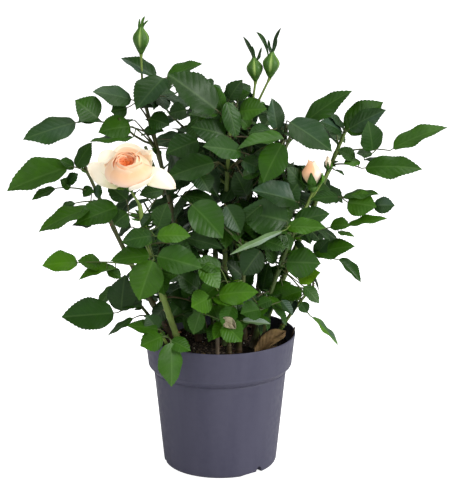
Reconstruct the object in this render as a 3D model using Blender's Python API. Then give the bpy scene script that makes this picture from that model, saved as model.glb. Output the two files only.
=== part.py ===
"""A patio rose in a round plastic nursery pot.

The pot stands on its flat underside at the origin, with +Z up and the side that is usually looked
at towards -Y. Canes rise from the potting soil, and each ends where it enters its own mass of
foliage. A mass is one solid: the cane's leafy end, the leaf stalks that leave it and their
leaflets. Bloom and buds are solids of their own on their stalks.
"""

import math
import random
from typing import NamedTuple

import bpy
from mathutils import Matrix, Vector
from mathutils.bvhtree import BVHTree

MM = 0.001
CLEARANCE = 0.3 * MM
UP = Vector((0, 0, 1))
FRONT = Vector((0, -1, 0))

# Pot: a standard round nursery pot with a deep rim.
POT_HEIGHT = 118 * MM
RIM_RADIUS = 65 * MM
RIM_FOOT_RADIUS = 62 * MM
RIM_DEPTH = 27 * MM
SHOULDER_DEPTH = 6 * MM
BODY_TOP_RADIUS = 57.2 * MM
BODY_FOOT_RADIUS = 49 * MM
BASE_RADIUS = 43.5 * MM
CORNER_RADIUS = 5.5 * MM
POT_WALL = 1.4 * MM
POT_FLOOR = 2 * MM
POT_SIDES = 32
DRAIN_COUNT = 3
DRAIN_FIRST_DEG = -53
DRAIN_WIDTH = 24 * MM
DRAIN_HEIGHT = 3 * MM

# Potting soil, a little under the rim.
SOIL_LEVEL = 108 * MM
SOIL_EDGE_DROP = 3 * MM
SOIL_FLAT_RADIUS = 54 * MM

# Canes, leaf stalks and leaflets.
CANE_SIDES = 7
CANE_RINGS = 6
SHOOT_SIDES = 5
SHOOT_RINGS = 6
TWIG_RADII = (1.25 * MM, 0.8 * MM)
TWIG_RINGS = 5
TWIG_TURN = 2.2
STALK_RADIUS = 0.9 * MM
STALK_RISE = 0.12
SPRAY_DROOP = 0.1
RULE_DROOP_DEG = (8, 52)
RULE_LEAFLETS = 3
FOOT_FLARE = 1.35
LEAF_WIDTH = 0.58
LEAF_OUTLINE = ((0.28, 0.5), (0.66, 0.44))
LEAF_MIDDLE = 0.45
LEAF_THICKNESS = 0.9 * MM
LEAF_FOLD = 0.10
LEAF_ARCH = 0.16
TEST_THICKNESS = 2.4 * MM
GOLDEN_ANGLE = math.radians(137.5)
PLACED_SEED = 11
RULE_SEED = 77

# Flowers. Each profile is a turned section, as shares of its radius and its height.
BUD_PROFILE = (
    (0, 0), (0.34, 0.01), (0.62, 0.12), (0.56, 0.22), (0.88, 0.38),
    (1, 0.52), (0.78, 0.72), (0.34, 0.92), (0, 1),
)
OPENING_PROFILE = (
    (0, 0), (0.3, 0.02), (0.52, 0.12), (0.46, 0.2), (0.86, 0.4),
    (1, 0.66), (0.9, 0.9), (0.5, 1), (0, 0.95),
)
CUP_PROFILE = (
    (0, 0), (0.16, 0.02), (0.25, 0.12), (0.22, 0.2), (0.72, 0.3),
    (0.98, 0.55), (1, 0.8), (0.86, 1), (0.4, 0.9), (0, 0.84),
)
BUD_SIDES = 8
CUP_SIDES = 14
FLOWER_STALK_RADII = (1.2, 1.1)
SEPAL_WIDTH = 0.16
SEPAL_THICKNESS = 1.2 * MM
PETAL_ROWS = 3
PETAL_COLUMNS = 4
PETAL_THICKNESS = 1 * MM

# The crown's outline: its radius to either side at a height, and its depth as a share of that.
CROWN_OUTLINE = ((110 * MM, 70 * MM), (150 * MM, 128 * MM), (260 * MM, 158 * MM), (350 * MM, 92 * MM))
CROWN_TOP = 362 * MM
CROWN_DEPTH = 0.95


class Cane(NamedTuple):
    """A cane or shoot: a bow from its foot on the soil, past a knee, to its tip. Sizes are in mm.

    knee is how far (along the ground, up) the bow's control point stands between foot and tip.
    leafy_from is the height at which the bare cane ends and its foliage begins.
    fill and twigs are how many leaves and side twigs the growth rule adds to those placed by hand,
    and reach is how far its leaves stand out.
    """

    name: str
    foot: tuple
    tip: tuple
    knee: tuple
    radii: tuple
    leafy_from: float
    fill: int = 0
    twigs: int = 0
    reach: float = 76


class Spray(NamedTuple):
    """A compound leaf placed by hand, in mm and degrees.

    It leaves its cane at height, and its end leaflet, of length blade, ends at tip. face turns its
    upper side from straight up (0) to the front (90). swing turns the end leaflet away from the
    line of its stalk, and spread is how far its side leaflets stand out.
    """

    cane: str
    height: float
    tip: tuple
    blade: float
    leaflets: int = 3
    face: float = 45
    swing: float = 0
    spread: float = 62


CANES = (
    Cane("front_left", (-31, -31), (-66, -60, 246), (0.75, 0.57), (2.9, 1.9), 160, 3, 0, 56),
    Cane("far_left", (-36, -8), (-114, -15, 270), (0.45, 0.35), (2.8, 1.5), 228, 1, 0, 56),
    Cane("top_left", (-18, 6), (-65, 5, 325), (0.5, 0.6), (3.0, 1.6), 232, 4, 1, 62),
    Cane("centre", (5, -8), (10, -14, 322), (-0.6, 0.5), (2.8, 1.5), 180, 8, 1, 62),
    Cane("top_middle", (20, 10), (26, 5, 306), (0.6, 0.5), (2.9, 1.7), 180, 7, 1, 62),
    Cane("right_middle", (30, 22), (57, 6, 298), (0.3, 0.6), (2.8, 1.5), 175, 7, 1, 62),
    Cane("right", (36, 34), (108, 8, 298), (0.45, 0.45), (3.0, 1.6), 200, 3, 1, 62),
    Cane("front_right", (28, -14), (69, -27, 230), (0.4, 0.5), (2.6, 1.6), 150, 4, 1, 58),
    Cane("front_middle", (16, -26), (22, -50, 212), (0.4, 0.5), (2.4, 1.4), 132, 4, 0, 52),
    Cane("low_right", (47, 8), (80, -4, 160), (0.4, 0.5), (2.0, 1.2), 122, 2, 0, 52),
    Cane("low_front", (8, -38), (6, -46, 166), (0.4, 0.5), (2.0, 1.2), 120, 1, 0, 46),
    Cane("low_left", (-46, 2), (-74, -12, 152), (0.4, 0.5), (2.0, 1.2), 118, 2, 0, 52),
    Cane("low_back", (-6, 46), (-14, 76, 172), (0.4, 0.5), (2.0, 1.2), 122, 4, 0, 56),
    Cane("pot_edge", (-42, -30), (-50, -50, 132), (0.4, 0.5), (1.8, 1.1), 114, 0, 0, 45),
    Cane("back_left", (-20, 34), (-66, 84, 262), (0.35, 0.6), (2.8, 1.5), 142, 9, 2, 80),
    Cane("back_right", (16, 42), (62, 90, 270), (0.35, 0.6), (2.8, 1.5), 142, 9, 2, 80),
    Cane("back_middle", (-2, 24), (-10, 44, 316), (0.4, 0.6), (2.8, 1.5), 180, 8, 2, 72),
)

SPRAYS = (
    Spray("top_left", 290, (-162, -25, 290), 48, 5, 58),
    Spray("top_left", 300, (-105, -15, 331), 36, 3, 50),
    Spray("top_left", 268, (-100, -30, 302), 30, 3, 45),
    Spray("top_left", 312, (-82, 24, 357), 36, 1, 52, 40),
    Spray("top_left", 310, (-14, 0, 352), 40, 3, 35, -20),
    Spray("top_left", 270, (-24, -18, 304), 30, 3, 60),
    Spray("centre", 300, (-42, -30, 349), 56, 1, 68, 15),
    Spray("centre", 312, (-4, -8, 336), 22, 3, 60),
    Spray("centre", 268, (-18, -46, 278), 38, 3, 60),
    Spray("centre", 250, (-12, -75, 223), 40, 3, 66),
    Spray("top_middle", 290, (15, 0, 341), 26, 3, 60),
    Spray("top_middle", 280, (4, -30, 305), 30, 1, 75),
    Spray("top_middle", 268, (52, -42, 286), 36, 3, 65),
    Spray("right_middle", 290, (43, -10, 326), 26, 1, 80),
    Spray("right_middle", 270, (88, -32, 288), 44, 1, 74),
    Spray("right_middle", 280, (110, -5, 331), 48, 3, 60),
    Spray("right", 272, (189, -15, 303), 52, 3, 25),
    Spray("right", 250, (168, -36, 273), 52, 3, 50),
    Spray("right", 294, (140, 16, 322), 44, 3, 62),
    Spray("right", 226, (146, -20, 235), 32, 5, 50),
    Spray("front_right", 212, (133, -20, 246), 38, 1, 20),
    Spray("front_right", 196, (140, -34, 219), 34, 3, 22),
    Spray("front_right", 216, (92, -58, 226), 36, 3, 76, -20),
    Spray("front_right", 184, (112, -36, 205), 34, 3, 55),
    Spray("front_right", 168, (119, -12, 166), 30, 3, 45),
    Spray("front_right", 222, (11, -78, 210), 50, 1, -100),
    Spray("front_middle", 208, (44, -42, 232), 36, 3, 74),
    Spray("front_middle", 190, (10, -80, 192), 34, 3, 70),
    Spray("front_middle", 175, (52, -60, 186), 34, 3, 66),
    Spray("low_right", 150, (90, -26, 178), 32, 3, 60),
    Spray("low_right", 138, (101, -20, 114), 34, 3, 55),
    Spray("front_left", 222, (-24, -80, 226), 36, 3, 52),
    Spray("front_left", 200, (-67, -88, 174), 40, 3, 62, 0, 92),
    Spray("front_left", 192, (-112, -62, 176), 36, 1, 20),
    Spray("front_left", 208, (-149, -38, 190), 50, 3, 34),
    Spray("front_left", 228, (-150, -56, 223), 52, 3, 46),
    Spray("front_left", 212, (-80, -82, 212), 26, 1, 66, 30),
    Spray("front_left", 172, (0, -72, 176), 34, 3, 55),
    Spray("far_left", 262, (-178, -26, 247), 58, 3, 46),
    Spray("far_left", 264, (-108, -8, 293), 28, 1, 70),
    Spray("far_left", 238, (-158, -32, 241), 28, 5, 45),
    Spray("low_left", 140, (-134, -26, 140), 52, 3, 62),
    Spray("low_left", 148, (-88, -20, 176), 34, 1, 66),
    Spray("low_left", 124, (-92, -50, 122), 26, 3, 50),
    Spray("pot_edge", 128, (-40, -77, 90), 42, 1, 62),
    Spray("pot_edge", 124, (-69, -58, 120), 28, 3, 50),
    Spray("low_front", 160, (33, -60, 171), 42, 3, 55),
    Spray("low_front", 148, (12, -68, 126), 30, 1, 66),
    Spray("low_front", 156, (-20, -70, 156), 28, 1, 66),
    Spray("low_front", 140, (38, -55, 142), 32, 3, 60),
)


class Head(NamedTuple):
    """A bud on its stalk, in mm and degrees: a turned body from base to tip.

    Each sepal is (length, bearing, lean): it stands out to its bearing and leans off the axis.
    """

    base: tuple
    tip: tuple
    radius: float
    profile: tuple
    sepals: tuple


class Petal(NamedTuple):
    """A guard petal, in mm and degrees, at a bearing about the bloom's axis.

    It leaves the hip at 58 degrees off the axis and ends at opening.
    """

    bearing: float
    opening: float
    length: float
    width: float


BUDS = {
    "bud_top_left": ("top_left", (
        Head((-66, 5, 360), (-66, 5, 385), 6.6, BUD_PROFILE, (
            (17, 0, 6), (18, 75, 4), (15, 150, 6), (16, 220, 8), (14, 290, 6),
        )),
    )),
    "twin_buds": ("top_middle", (
        Head((30, 6, 338), (27, 6, 358), 6.4, BUD_PROFILE, (
            (28, 170, 14), (18, 20, 12), (14, 90, 8), (14, 270, 8),
        )),
        Head((42, 4, 341), (45, 4, 365), 7.0, BUD_PROFILE, (
            (27, 165, 32), (28, 10, 12), (15, 90, 8), (15, 270, 8),
        )),
    )),
    "half_open_buds": ("front_right", (
        Head((78, -30, 250), (76, -30, 276), 8.4, OPENING_PROFILE, (
            (15, 10, 30), (17, 85, 24), (14, 160, 32), (16, 235, 26), (15, 310, 28),
        )),
        Head((91, -21, 264), (91, -20, 281), 4.6, BUD_PROFILE, ((12, 0, 14), (12, 180, 14))),
    )),
}
BLOOM_CANE = "front_left"
BLOOM_BASE = (-73, -62, 259)
BLOOM_AXIS = (-0.08, -0.45, 0.89)
BLOOM_RADIUS = 19.5
BLOOM_DEPTH = 31
HIP_SHARE = 0.2
PETAL_START_DEG = 58
PETAL_MIN_BEND = 12
PETALS = (
    Petal(-14, 84, 42, 32),
    Petal(40, 62, 34, 32),
    Petal(88, 50, 33, 34),
    Petal(135, 61, 34, 32),
    Petal(178, 70, 35, 30),
    Petal(238, 24, 30, 32),
    Petal(298, 34, 32, 32),
)


class Leaflet(NamedTuple):
    """One blade, in metres, with its upper side along normal."""

    base: Vector
    direction: Vector
    normal: Vector
    length: float
    width: float


class Piece(NamedTuple):
    """A closed mesh as plain lists."""

    points: list
    faces: list


# ---------------------------------------------------------------- general mesh helpers


def clear_scene():
    for obj in list(bpy.data.objects):
        bpy.data.objects.remove(obj)


def material(name, colour, roughness):
    """A plain material for one kind of surface."""
    made = bpy.data.materials.new(name)
    made.use_nodes = True
    shader = made.node_tree.nodes["Principled BSDF"]
    shader.inputs["Base Color"].default_value = (*colour, 1)
    shader.inputs["Roughness"].default_value = roughness
    made.diffuse_color = (*colour, 1)
    return made


def object_from(name, piece, surface=None):
    mesh = bpy.data.meshes.new(name)
    mesh.from_pydata([tuple(p) for p in piece.points], [], piece.faces)
    mesh.update()
    if surface:
        mesh.materials.append(surface)
    obj = bpy.data.objects.new(name, mesh)
    bpy.context.scene.collection.objects.link(obj)
    return obj


def unit_across(direction, wanted):
    """The unit vector nearest to wanted that is square to direction."""
    across = wanted - wanted.dot(direction) * direction
    if across.length < 1e-4:
        across = FRONT - FRONT.dot(direction) * direction
    return across.normalized()


def lathe(profile, sides):
    """A closed solid turned about Z. The profile runs from the axis, round the outside, back to it."""
    points = [Vector((0, 0, profile[0][1]))]
    for radius, height in profile[1:-1]:
        for side in range(sides):
            angle = 2 * math.pi * side / sides
            points.append(Vector((radius * math.cos(angle), radius * math.sin(angle), height)))
    points.append(Vector((0, 0, profile[-1][1])))
    rings = len(profile) - 2
    last = len(points) - 1
    faces = []
    for side in range(sides):
        after = (side + 1) % sides
        faces.append((0, 1 + after, 1 + side))
        for ring in range(rings - 1):
            low, high = 1 + ring * sides, 1 + (ring + 1) * sides
            faces.append((low + side, low + after, high + after, high + side))
        top = 1 + (rings - 1) * sides
        faces.append((top + side, top + after, last))
    return Piece(points, faces)


def turned(profile, sides, base, axis):
    """A lathed solid that stands on base along axis."""
    piece = lathe(profile, sides)
    across, other = axis_frame(axis)
    points = [base + across * p.x + other * p.y + axis * p.z for p in piece.points]
    return Piece(points, piece.faces)


def tube(path, radii, sides, level_foot=False):
    """A closed tapering tube along path, cut level at its foot where asked."""
    points, faces = [], []
    count = len(path)
    across = unit_across((path[1] - path[0]).normalized(), Vector((1, 0, 0)))
    for i, centre in enumerate(path):
        along = (path[min(i + 1, count - 1)] - path[max(i - 1, 0)]).normalized()
        if level_foot and i == 0:
            along = UP
        across = unit_across(along, across)
        other = along.cross(across)
        for side in range(sides):
            angle = 2 * math.pi * side / sides
            points.append(centre + radii[i] * (math.cos(angle) * across + math.sin(angle) * other))
    for i in range(count - 1):
        for side in range(sides):
            after = (side + 1) % sides
            low, high = i * sides, (i + 1) * sides
            faces.append((low + side, low + after, high + after, high + side))
    faces.append(tuple(reversed(range(sides))))
    faces.append(tuple(range((count - 1) * sides, count * sides)))
    return Piece(points, faces)


def sheet(grid, thickness, lift):
    """A closed sheet from rows of points. lift is the side that its thickness goes to."""
    rows, columns = len(grid), len(grid[0])
    points = [p - lift * thickness / 2 for row in grid for p in row]
    points += [p + lift * thickness / 2 for row in grid for p in row]
    top = rows * columns
    faces = []
    for r in range(rows - 1):
        for c in range(columns - 1):
            a, b = r * columns + c, (r + 1) * columns + c
            faces.append((a, b, b + 1, a + 1))
            faces.append((top + a, top + a + 1, top + b + 1, top + b))
    edge = [(0, c) for c in range(columns - 1)]
    edge += [(r, columns - 1) for r in range(rows - 1)]
    edge += [(rows - 1, c) for c in range(columns - 1, 0, -1)]
    edge += [(r, 0) for r in range(rows - 1, 0, -1)]
    for i, (r, c) in enumerate(edge):
        r2, c2 = edge[(i + 1) % len(edge)]
        a, b = r * columns + c, r2 * columns + c2
        faces.append((a, b, top + b, top + a))
    return Piece(points, faces)


def largest_island(mesh):
    """Drops loose scraps and sealed hollows, which a union may leave, so that one body stays."""
    parent = list(range(len(mesh.vertices)))

    def root(i):
        while parent[i] != i:
            parent[i] = parent[parent[i]]
            i = parent[i]
        return i

    for edge in mesh.edges:
        a, b = root(edge.vertices[0]), root(edge.vertices[1])
        parent[a] = b
    sizes = {}
    for i in range(len(parent)):
        sizes[root(i)] = sizes.get(root(i), 0) + 1
    keep = max(sizes, key=sizes.get)
    if len(sizes) == 1:
        return mesh
    kept = [i for i in range(len(parent)) if root(i) == keep]
    new_index = {old: new for new, old in enumerate(kept)}
    points = [mesh.vertices[i].co.copy() for i in kept]
    faces = [
        tuple(new_index[i] for i in face.vertices)
        for face in mesh.polygons
        if face.vertices[0] in new_index
    ]
    single = bpy.data.meshes.new(mesh.name)
    single.from_pydata(points, [], faces)
    single.update()
    return single


def fuse(name, pieces, surface):
    """Joins overlapping closed pieces into one solid by one Boolean union on a collection.

    The solver is MANIFOLD, because EXACT leaves open edges where thin plates cross.
    """
    whole = object_from(name, pieces[0])
    others = bpy.data.collections.new(name + "_pieces")
    bpy.context.scene.collection.children.link(others)
    for i, piece in enumerate(pieces[1:]):
        part = object_from(f"{name}_piece_{i}", piece)
        bpy.context.scene.collection.objects.unlink(part)
        others.objects.link(part)
    union = whole.modifiers.new("union", "BOOLEAN")
    union.operation = "UNION"
    union.operand_type = "COLLECTION"
    union.collection = others
    union.solver = "MANIFOLD"
    graph = bpy.context.evaluated_depsgraph_get()
    joined = bpy.data.meshes.new_from_object(whole.evaluated_get(graph))
    whole.modifiers.clear()
    whole.data = largest_island(joined)
    whole.data.name = name
    whole.data.materials.clear()
    whole.data.materials.append(surface)
    for part in list(others.objects):
        bpy.data.objects.remove(part)
    bpy.data.collections.remove(others)
    return whole


def cut(obj, cutter):
    """Takes the cutter's shape out of obj, by MANIFOLD, because EXACT leaves the pot open."""
    cutter.hide_render = True
    cutter.display_type = "WIRE"
    modifier = obj.modifiers.new("cut_" + cutter.name, "BOOLEAN")
    modifier.operation = "DIFFERENCE"
    modifier.solver = "MANIFOLD"
    modifier.object = cutter


# ---------------------------------------------------------------- pot and soil


def pot_profile():
    """The pot's section, from the middle of the underside round the outside and down the inside."""
    shoulder_top = POT_HEIGHT - RIM_DEPTH
    body_top = shoulder_top - SHOULDER_DEPTH
    outside = [(0, 0), (BASE_RADIUS, 0)]
    for step in range(1, 4):
        angle = math.pi / 2 * step / 3
        outside.append((
            BASE_RADIUS + (BODY_FOOT_RADIUS - BASE_RADIUS) * math.sin(angle),
            CORNER_RADIUS * (1 - math.cos(angle)),
        ))
    outside += [
        (BODY_TOP_RADIUS, body_top),
        (RIM_FOOT_RADIUS - 1.2 * MM, shoulder_top - 2.2 * MM),
        (RIM_FOOT_RADIUS, shoulder_top),
        (RIM_RADIUS, POT_HEIGHT - 0.6 * MM),
        (RIM_RADIUS - 0.5 * MM, POT_HEIGHT),
    ]
    inside = [
        (RIM_RADIUS - POT_WALL, POT_HEIGHT - 0.2 * MM),
        (RIM_FOOT_RADIUS - POT_WALL, shoulder_top + 1 * MM),
        (BODY_TOP_RADIUS - POT_WALL, body_top + 1 * MM),
        (BODY_FOOT_RADIUS - POT_WALL, CORNER_RADIUS + 1 * MM),
        (BASE_RADIUS - POT_WALL, POT_FLOOR),
        (0, POT_FLOOR),
    ]
    return outside + inside


def build_pot(surface):
    pot = object_from("pot", lathe(pot_profile(), POT_SIDES), surface)
    for i in range(DRAIN_COUNT):
        angle = math.radians(DRAIN_FIRST_DEG) + 2 * math.pi * i / DRAIN_COUNT
        outward = Vector((math.cos(angle), math.sin(angle), 0))
        side = UP.cross(outward)
        rows = []
        for radius in (37.5 * MM, 60 * MM):
            row = []
            for step in range(9):
                turn = math.pi * step / 8
                rise = DRAIN_HEIGHT * math.sin(turn)
                row.append(outward * radius + side * math.cos(turn) * DRAIN_WIDTH / 2 + UP * rise)
            row += [row[-1] - UP * 4 * MM, row[0] - UP * 4 * MM]
            rows.append(row)
        count = len(rows[0])
        faces = [
            (k, (k + 1) % count, count + (k + 1) % count, count + k) for k in range(count)
        ]
        faces += [tuple(reversed(range(count))), tuple(range(count, 2 * count))]
        cutter = object_from(f"drain_{i}_cutter", Piece(rows[0] + rows[1], faces))
        cut(pot, cutter)
    shade_round(pot)
    return pot


def shade_round(obj):
    obj.data.shade_smooth()
    obj.data.set_sharp_from_angle(angle=math.radians(35))


def build_soil(surface):
    """The filling follows the pot's inside with a small gap all round."""
    shoulder_top = POT_HEIGHT - RIM_DEPTH
    body_top = shoulder_top - SHOULDER_DEPTH
    gap = POT_WALL + CLEARANCE
    edge_level = SOIL_LEVEL - SOIL_EDGE_DROP
    share = (edge_level - shoulder_top) / RIM_DEPTH
    edge_radius = RIM_FOOT_RADIUS + (RIM_RADIUS - RIM_FOOT_RADIUS) * share - gap - CLEARANCE
    profile = [
        (0, POT_FLOOR + CLEARANCE),
        (BASE_RADIUS - gap - 0.4 * MM, POT_FLOOR + CLEARANCE),
        (BODY_FOOT_RADIUS - gap - 0.2 * MM, CORNER_RADIUS + 1.2 * MM),
        (BODY_TOP_RADIUS - gap - 0.1 * MM, body_top + 1 * MM),
        (RIM_FOOT_RADIUS - gap - 0.4 * MM, shoulder_top + 1.6 * MM),
        (edge_radius, edge_level),
        (SOIL_FLAT_RADIUS, SOIL_LEVEL),
        (0, SOIL_LEVEL),
    ]
    soil = object_from("soil", lathe(profile, POT_SIDES), surface)
    shade_round(soil)
    return soil


# ---------------------------------------------------------------- growth rule


def cane_frame(cane):
    """The bow's three control points, in metres."""
    foot = Vector((*cane.foot, 0)) * MM + UP * (SOIL_LEVEL + CLEARANCE)
    tip = Vector(cane.tip) * MM
    along, up = cane.knee
    knee = Vector((
        foot.x + (tip.x - foot.x) * along,
        foot.y + (tip.y - foot.y) * along,
        foot.z + (tip.z - foot.z) * up,
    ))
    return foot, knee, tip


def cane_point(cane, t):
    foot, knee, tip = cane_frame(cane)
    return foot * (1 - t) ** 2 + knee * 2 * t * (1 - t) + tip * t * t


def cane_share(cane, height):
    """How far along the cane a height in metres is, from 0 at the foot to 1 at the tip."""
    low, high = 0.0, 1.0
    for _ in range(30):
        middle = (low + high) / 2
        if cane_point(cane, middle).z < height:
            low = middle
        else:
            high = middle
    return (low + high) / 2


def cane_radius(cane, t):
    return (cane.radii[0] + (cane.radii[1] - cane.radii[0]) * t) * MM


def cane_tube(cane, start, end, rings, sides, level_foot=False):
    shares = [start + (end - start) * i / (rings - 1) for i in range(rings)]
    radii = [cane_radius(cane, t) for t in shares]
    if level_foot:
        radii[0] *= FOOT_FLARE
    return tube([cane_point(cane, t) for t in shares], radii, sides, level_foot)


def on_blade(leaf, along, across):
    """A point of a blade, which is folded along its midrib and arched down to its tip."""
    side = leaf.normal.cross(leaf.direction)
    drop = LEAF_ARCH * along * along - LEAF_FOLD * abs(across)
    return (
        leaf.base
        + leaf.direction * leaf.length * along
        + side * leaf.width * across
        - leaf.normal * leaf.length * drop
    )


def blade_edge(leaf):
    """The blade's outline past its root: down one side to the tip and back up the other."""
    right = [on_blade(leaf, along, -half) for along, half in LEAF_OUTLINE]
    left = [on_blade(leaf, along, half) for along, half in reversed(LEAF_OUTLINE)]
    return [*right, on_blade(leaf, 1, 0), *left]


def blade_solid(leaf, thickness):
    """A blade by itself, as a closed solid."""
    outline = [leaf.base, *blade_edge(leaf)]
    middle = on_blade(leaf, LEAF_MIDDLE, 0)
    lift = leaf.normal * thickness / 2
    faces = []
    for i in range(len(outline)):
        after = (i + 1) % len(outline)
        faces += [(i, after, len(outline)), (after, i, len(outline) + 1)]
    return Piece([*outline, middle + lift, middle - lift], faces)


class Growth(NamedTuple):
    """A compound leaf as grown: its bowed stalk's start, knee and end, and its leaflets.

    leaflets holds the end leaflet and then, from the top pair down, the left and the right one.
    """

    stalk: tuple
    leaflets: list


class Plate:
    """A thin closed plate under way: sharp at its outline, and thick along its inner points."""

    def __init__(self, thickness):
        self.thickness = thickness
        self.points = []
        self.below = {}
        self.faces = []

    def rim(self, point):
        self.points.append(point)
        return len(self.points) - 1

    def rib(self, point, normal):
        top = self.rim(point + normal * self.thickness / 2)
        self.below[top] = self.rim(point - normal * self.thickness / 2)
        return top

    def face(self, *corners):
        self.faces.append(corners)
        self.faces.append(tuple(self.below.get(i, i) for i in reversed(corners)))

    def fan(self, loop, middle):
        for i, corner in enumerate(loop):
            self.face(corner, loop[(i + 1) % len(loop)], middle)


class Station(NamedTuple):
    """One place on a plate's stalk: its rib, and its outline's points below and above it."""

    rib: int
    left: tuple
    right: tuple


def leaf_plate(growth, kept):
    """A compound leaf as one closed plate: a strip for its stalk, with its blades spread from it."""
    start, knee, base = growth.stalk
    end = growth.leaflets[0]
    plate = Plate(LEAF_THICKNESS)

    def station(share, length):
        here = bow(start, knee, base, share)
        along = (knee * 2 * (1 - share) - start * 2 * (1 - share) + (base - knee) * 2 * share)
        along.normalize()
        side = unit_across(along, end.normal).cross(along)
        left, right = (
            [plate.rim(here + side * STALK_RADIUS * hand + along * step) for step in length]
            for hand in (1, -1)
        )
        return Station(plate.rib(here, unit_across(along, end.normal)), left, right)

    stations = [station(0, (0,)), station(0.4, (0,))]
    pairs = (len(growth.leaflets) - 1) // 2
    for pair in reversed(range(pairs)):
        here = station(pair_share(pair), (-STALK_RADIUS, STALK_RADIUS))
        stations.append(here)
        for edge, i in ((here.left, 1 + 2 * pair), (here.right, 2 + 2 * pair)):
            leaf = growth.leaflets[i]
            low, high = edge
            if i not in kept:
                loop = (low, here.rib, high) if edge is here.left else (high, here.rib, low)
                plate.face(*loop)
                continue
            outer = [plate.rim(point) for point in blade_edge(leaf)]
            loop = [here.rib, high, *outer, low]
            if edge is here.right:
                loop = [here.rib, low, *outer, high]
            plate.fan(loop, plate.rib(on_blade(leaf, LEAF_MIDDLE, 0), leaf.normal))
    stations.append(station(1, (0,)))
    root = stations[0]
    underside = plate.below[root.rib]
    plate.faces += [(root.rib, root.left[0], underside), (root.rib, underside, root.right[0])]
    for low, high in zip(stations, stations[1:]):
        plate.face(low.rib, high.rib, high.left[0], low.left[-1])
        plate.face(low.right[-1], high.right[0], high.rib, low.rib)
    top = stations[-1]
    outer = [plate.rim(point) for point in blade_edge(end)]
    loop = [top.rib, top.right[0], *outer, top.left[0]]
    plate.fan(loop, plate.rib(on_blade(end, LEAF_MIDDLE, 0), end.normal))
    return Piece(plate.points, plate.faces)


def pair_share(pair):
    """How far up the stalk a pair of side leaflets stands, counted from the top pair."""
    return 0.78 - 0.3 * pair


def bow(start, knee, end, share):
    return start * (1 - share) ** 2 + knee * 2 * share * (1 - share) + end * share * share


def grow_leaf(start, tip, heading, blade, count, face_way, rng, spread=62.0):
    """A compound leaf that ends at tip, its end leaflet along heading with its face to face_way."""
    blade = min(blade, (tip - start).length * 0.75)
    base = tip - heading * blade
    knee = start + (base - start) * 0.45 + UP * (base - start).length * STALK_RISE
    normal = unit_across(heading, face_way)
    leaflets = [Leaflet(base, heading, normal, blade, blade * LEAF_WIDTH * rng.uniform(0.95, 1.1))]
    for pair in range((count - 1) // 2):
        size = blade * (0.82 - 0.12 * pair) * rng.uniform(0.92, 1.06)
        for hand in (1, -1):
            root = bow(start, knee, base, pair_share(pair))
            turn = math.radians(spread + rng.uniform(-9, 9)) * hand
            way = Matrix.Rotation(turn, 3, normal) @ heading
            way = (way + normal * rng.uniform(-0.12, 0.12)).normalized()
            tilt = Matrix.Rotation(math.radians(rng.uniform(-20, 20)), 3, way)
            side_normal = tilt @ unit_across(way, normal)
            width = size * LEAF_WIDTH * rng.uniform(0.95, 1.12)
            leaflets.append(Leaflet(root, way, side_normal, size, width))
    return Growth((start, knee, base), leaflets)


def placed_growths(cane, rng):
    """The compound leaves placed by hand on this cane."""
    for spray in SPRAYS:
        if spray.cane != cane.name:
            continue
        start = cane_point(cane, cane_share(cane, spray.height * MM))
        tip = Vector(spray.tip) * MM
        face = math.radians(spray.face)
        face_way = UP * math.cos(face) + FRONT * math.sin(face)
        chord = (tip - start).normalized()
        swung = Matrix.Rotation(math.radians(spray.swing), 3, unit_across(chord, face_way)) @ chord
        heading = (swung - UP * SPRAY_DROOP).normalized()
        blade = spray.blade * MM
        yield grow_leaf(start, tip, heading, blade, spray.leaflets, face_way, rng, spray.spread)


def crown_radius(height):
    """How far the crown reaches to either side at a height, read between its outline's stations."""
    low = CROWN_OUTLINE[0]
    for high in CROWN_OUTLINE[1:]:
        if height <= high[0] or high is CROWN_OUTLINE[-1]:
            share = (height - low[0]) / (high[0] - low[0])
            return low[1] + (high[1] - low[1]) * share
        low = high


def is_in_crown(point):
    radius = max(crown_radius(point.z), 0.02)
    across = (point.x / radius) ** 2 + (point.y / (radius * CROWN_DEPTH)) ** 2
    return across <= 1 and SOIL_LEVEL < point.z < CROWN_TOP


def rule_leaf(start, turn, reach, rng):
    """A compound leaf that the rule sends outward at this turn about the stem, its blades hanging."""
    away = Vector((start.x, start.y, 0)).normalized()
    outward = (Vector((math.cos(turn), math.sin(turn), 0)) + away * 0.6).normalized()
    reach *= rng.uniform(0.8, 1.1)
    tip = start + outward * reach * 0.9 + UP * reach * rng.uniform(-0.35, 0.4)
    droop = math.radians(rng.uniform(*RULE_DROOP_DEG))
    heading = outward * math.cos(droop) - UP * math.sin(droop)
    blade = reach * rng.uniform(0.5, 0.58)
    face_way = UP + Vector((tip.x, tip.y, 0)).normalized() * rng.uniform(0.4, 2)
    return grow_leaf(start, tip, heading, blade, RULE_LEAFLETS, face_way, rng)


def filled_growths(cane, rng):
    """The compound leaves that the growth rule spaces up the leafy end by the golden angle."""
    first = cane_share(cane, cane.leafy_from * MM)
    turn = rng.uniform(0, 2 * math.pi)
    for i in range(cane.fill):
        share = first + (1 - first) * (0.10 + 0.88 * (i + 0.5) / cane.fill)
        turn += GOLDEN_ANGLE + rng.uniform(-0.25, 0.25)
        yield rule_leaf(cane_point(cane, share), turn, cane.reach * MM, rng)


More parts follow.
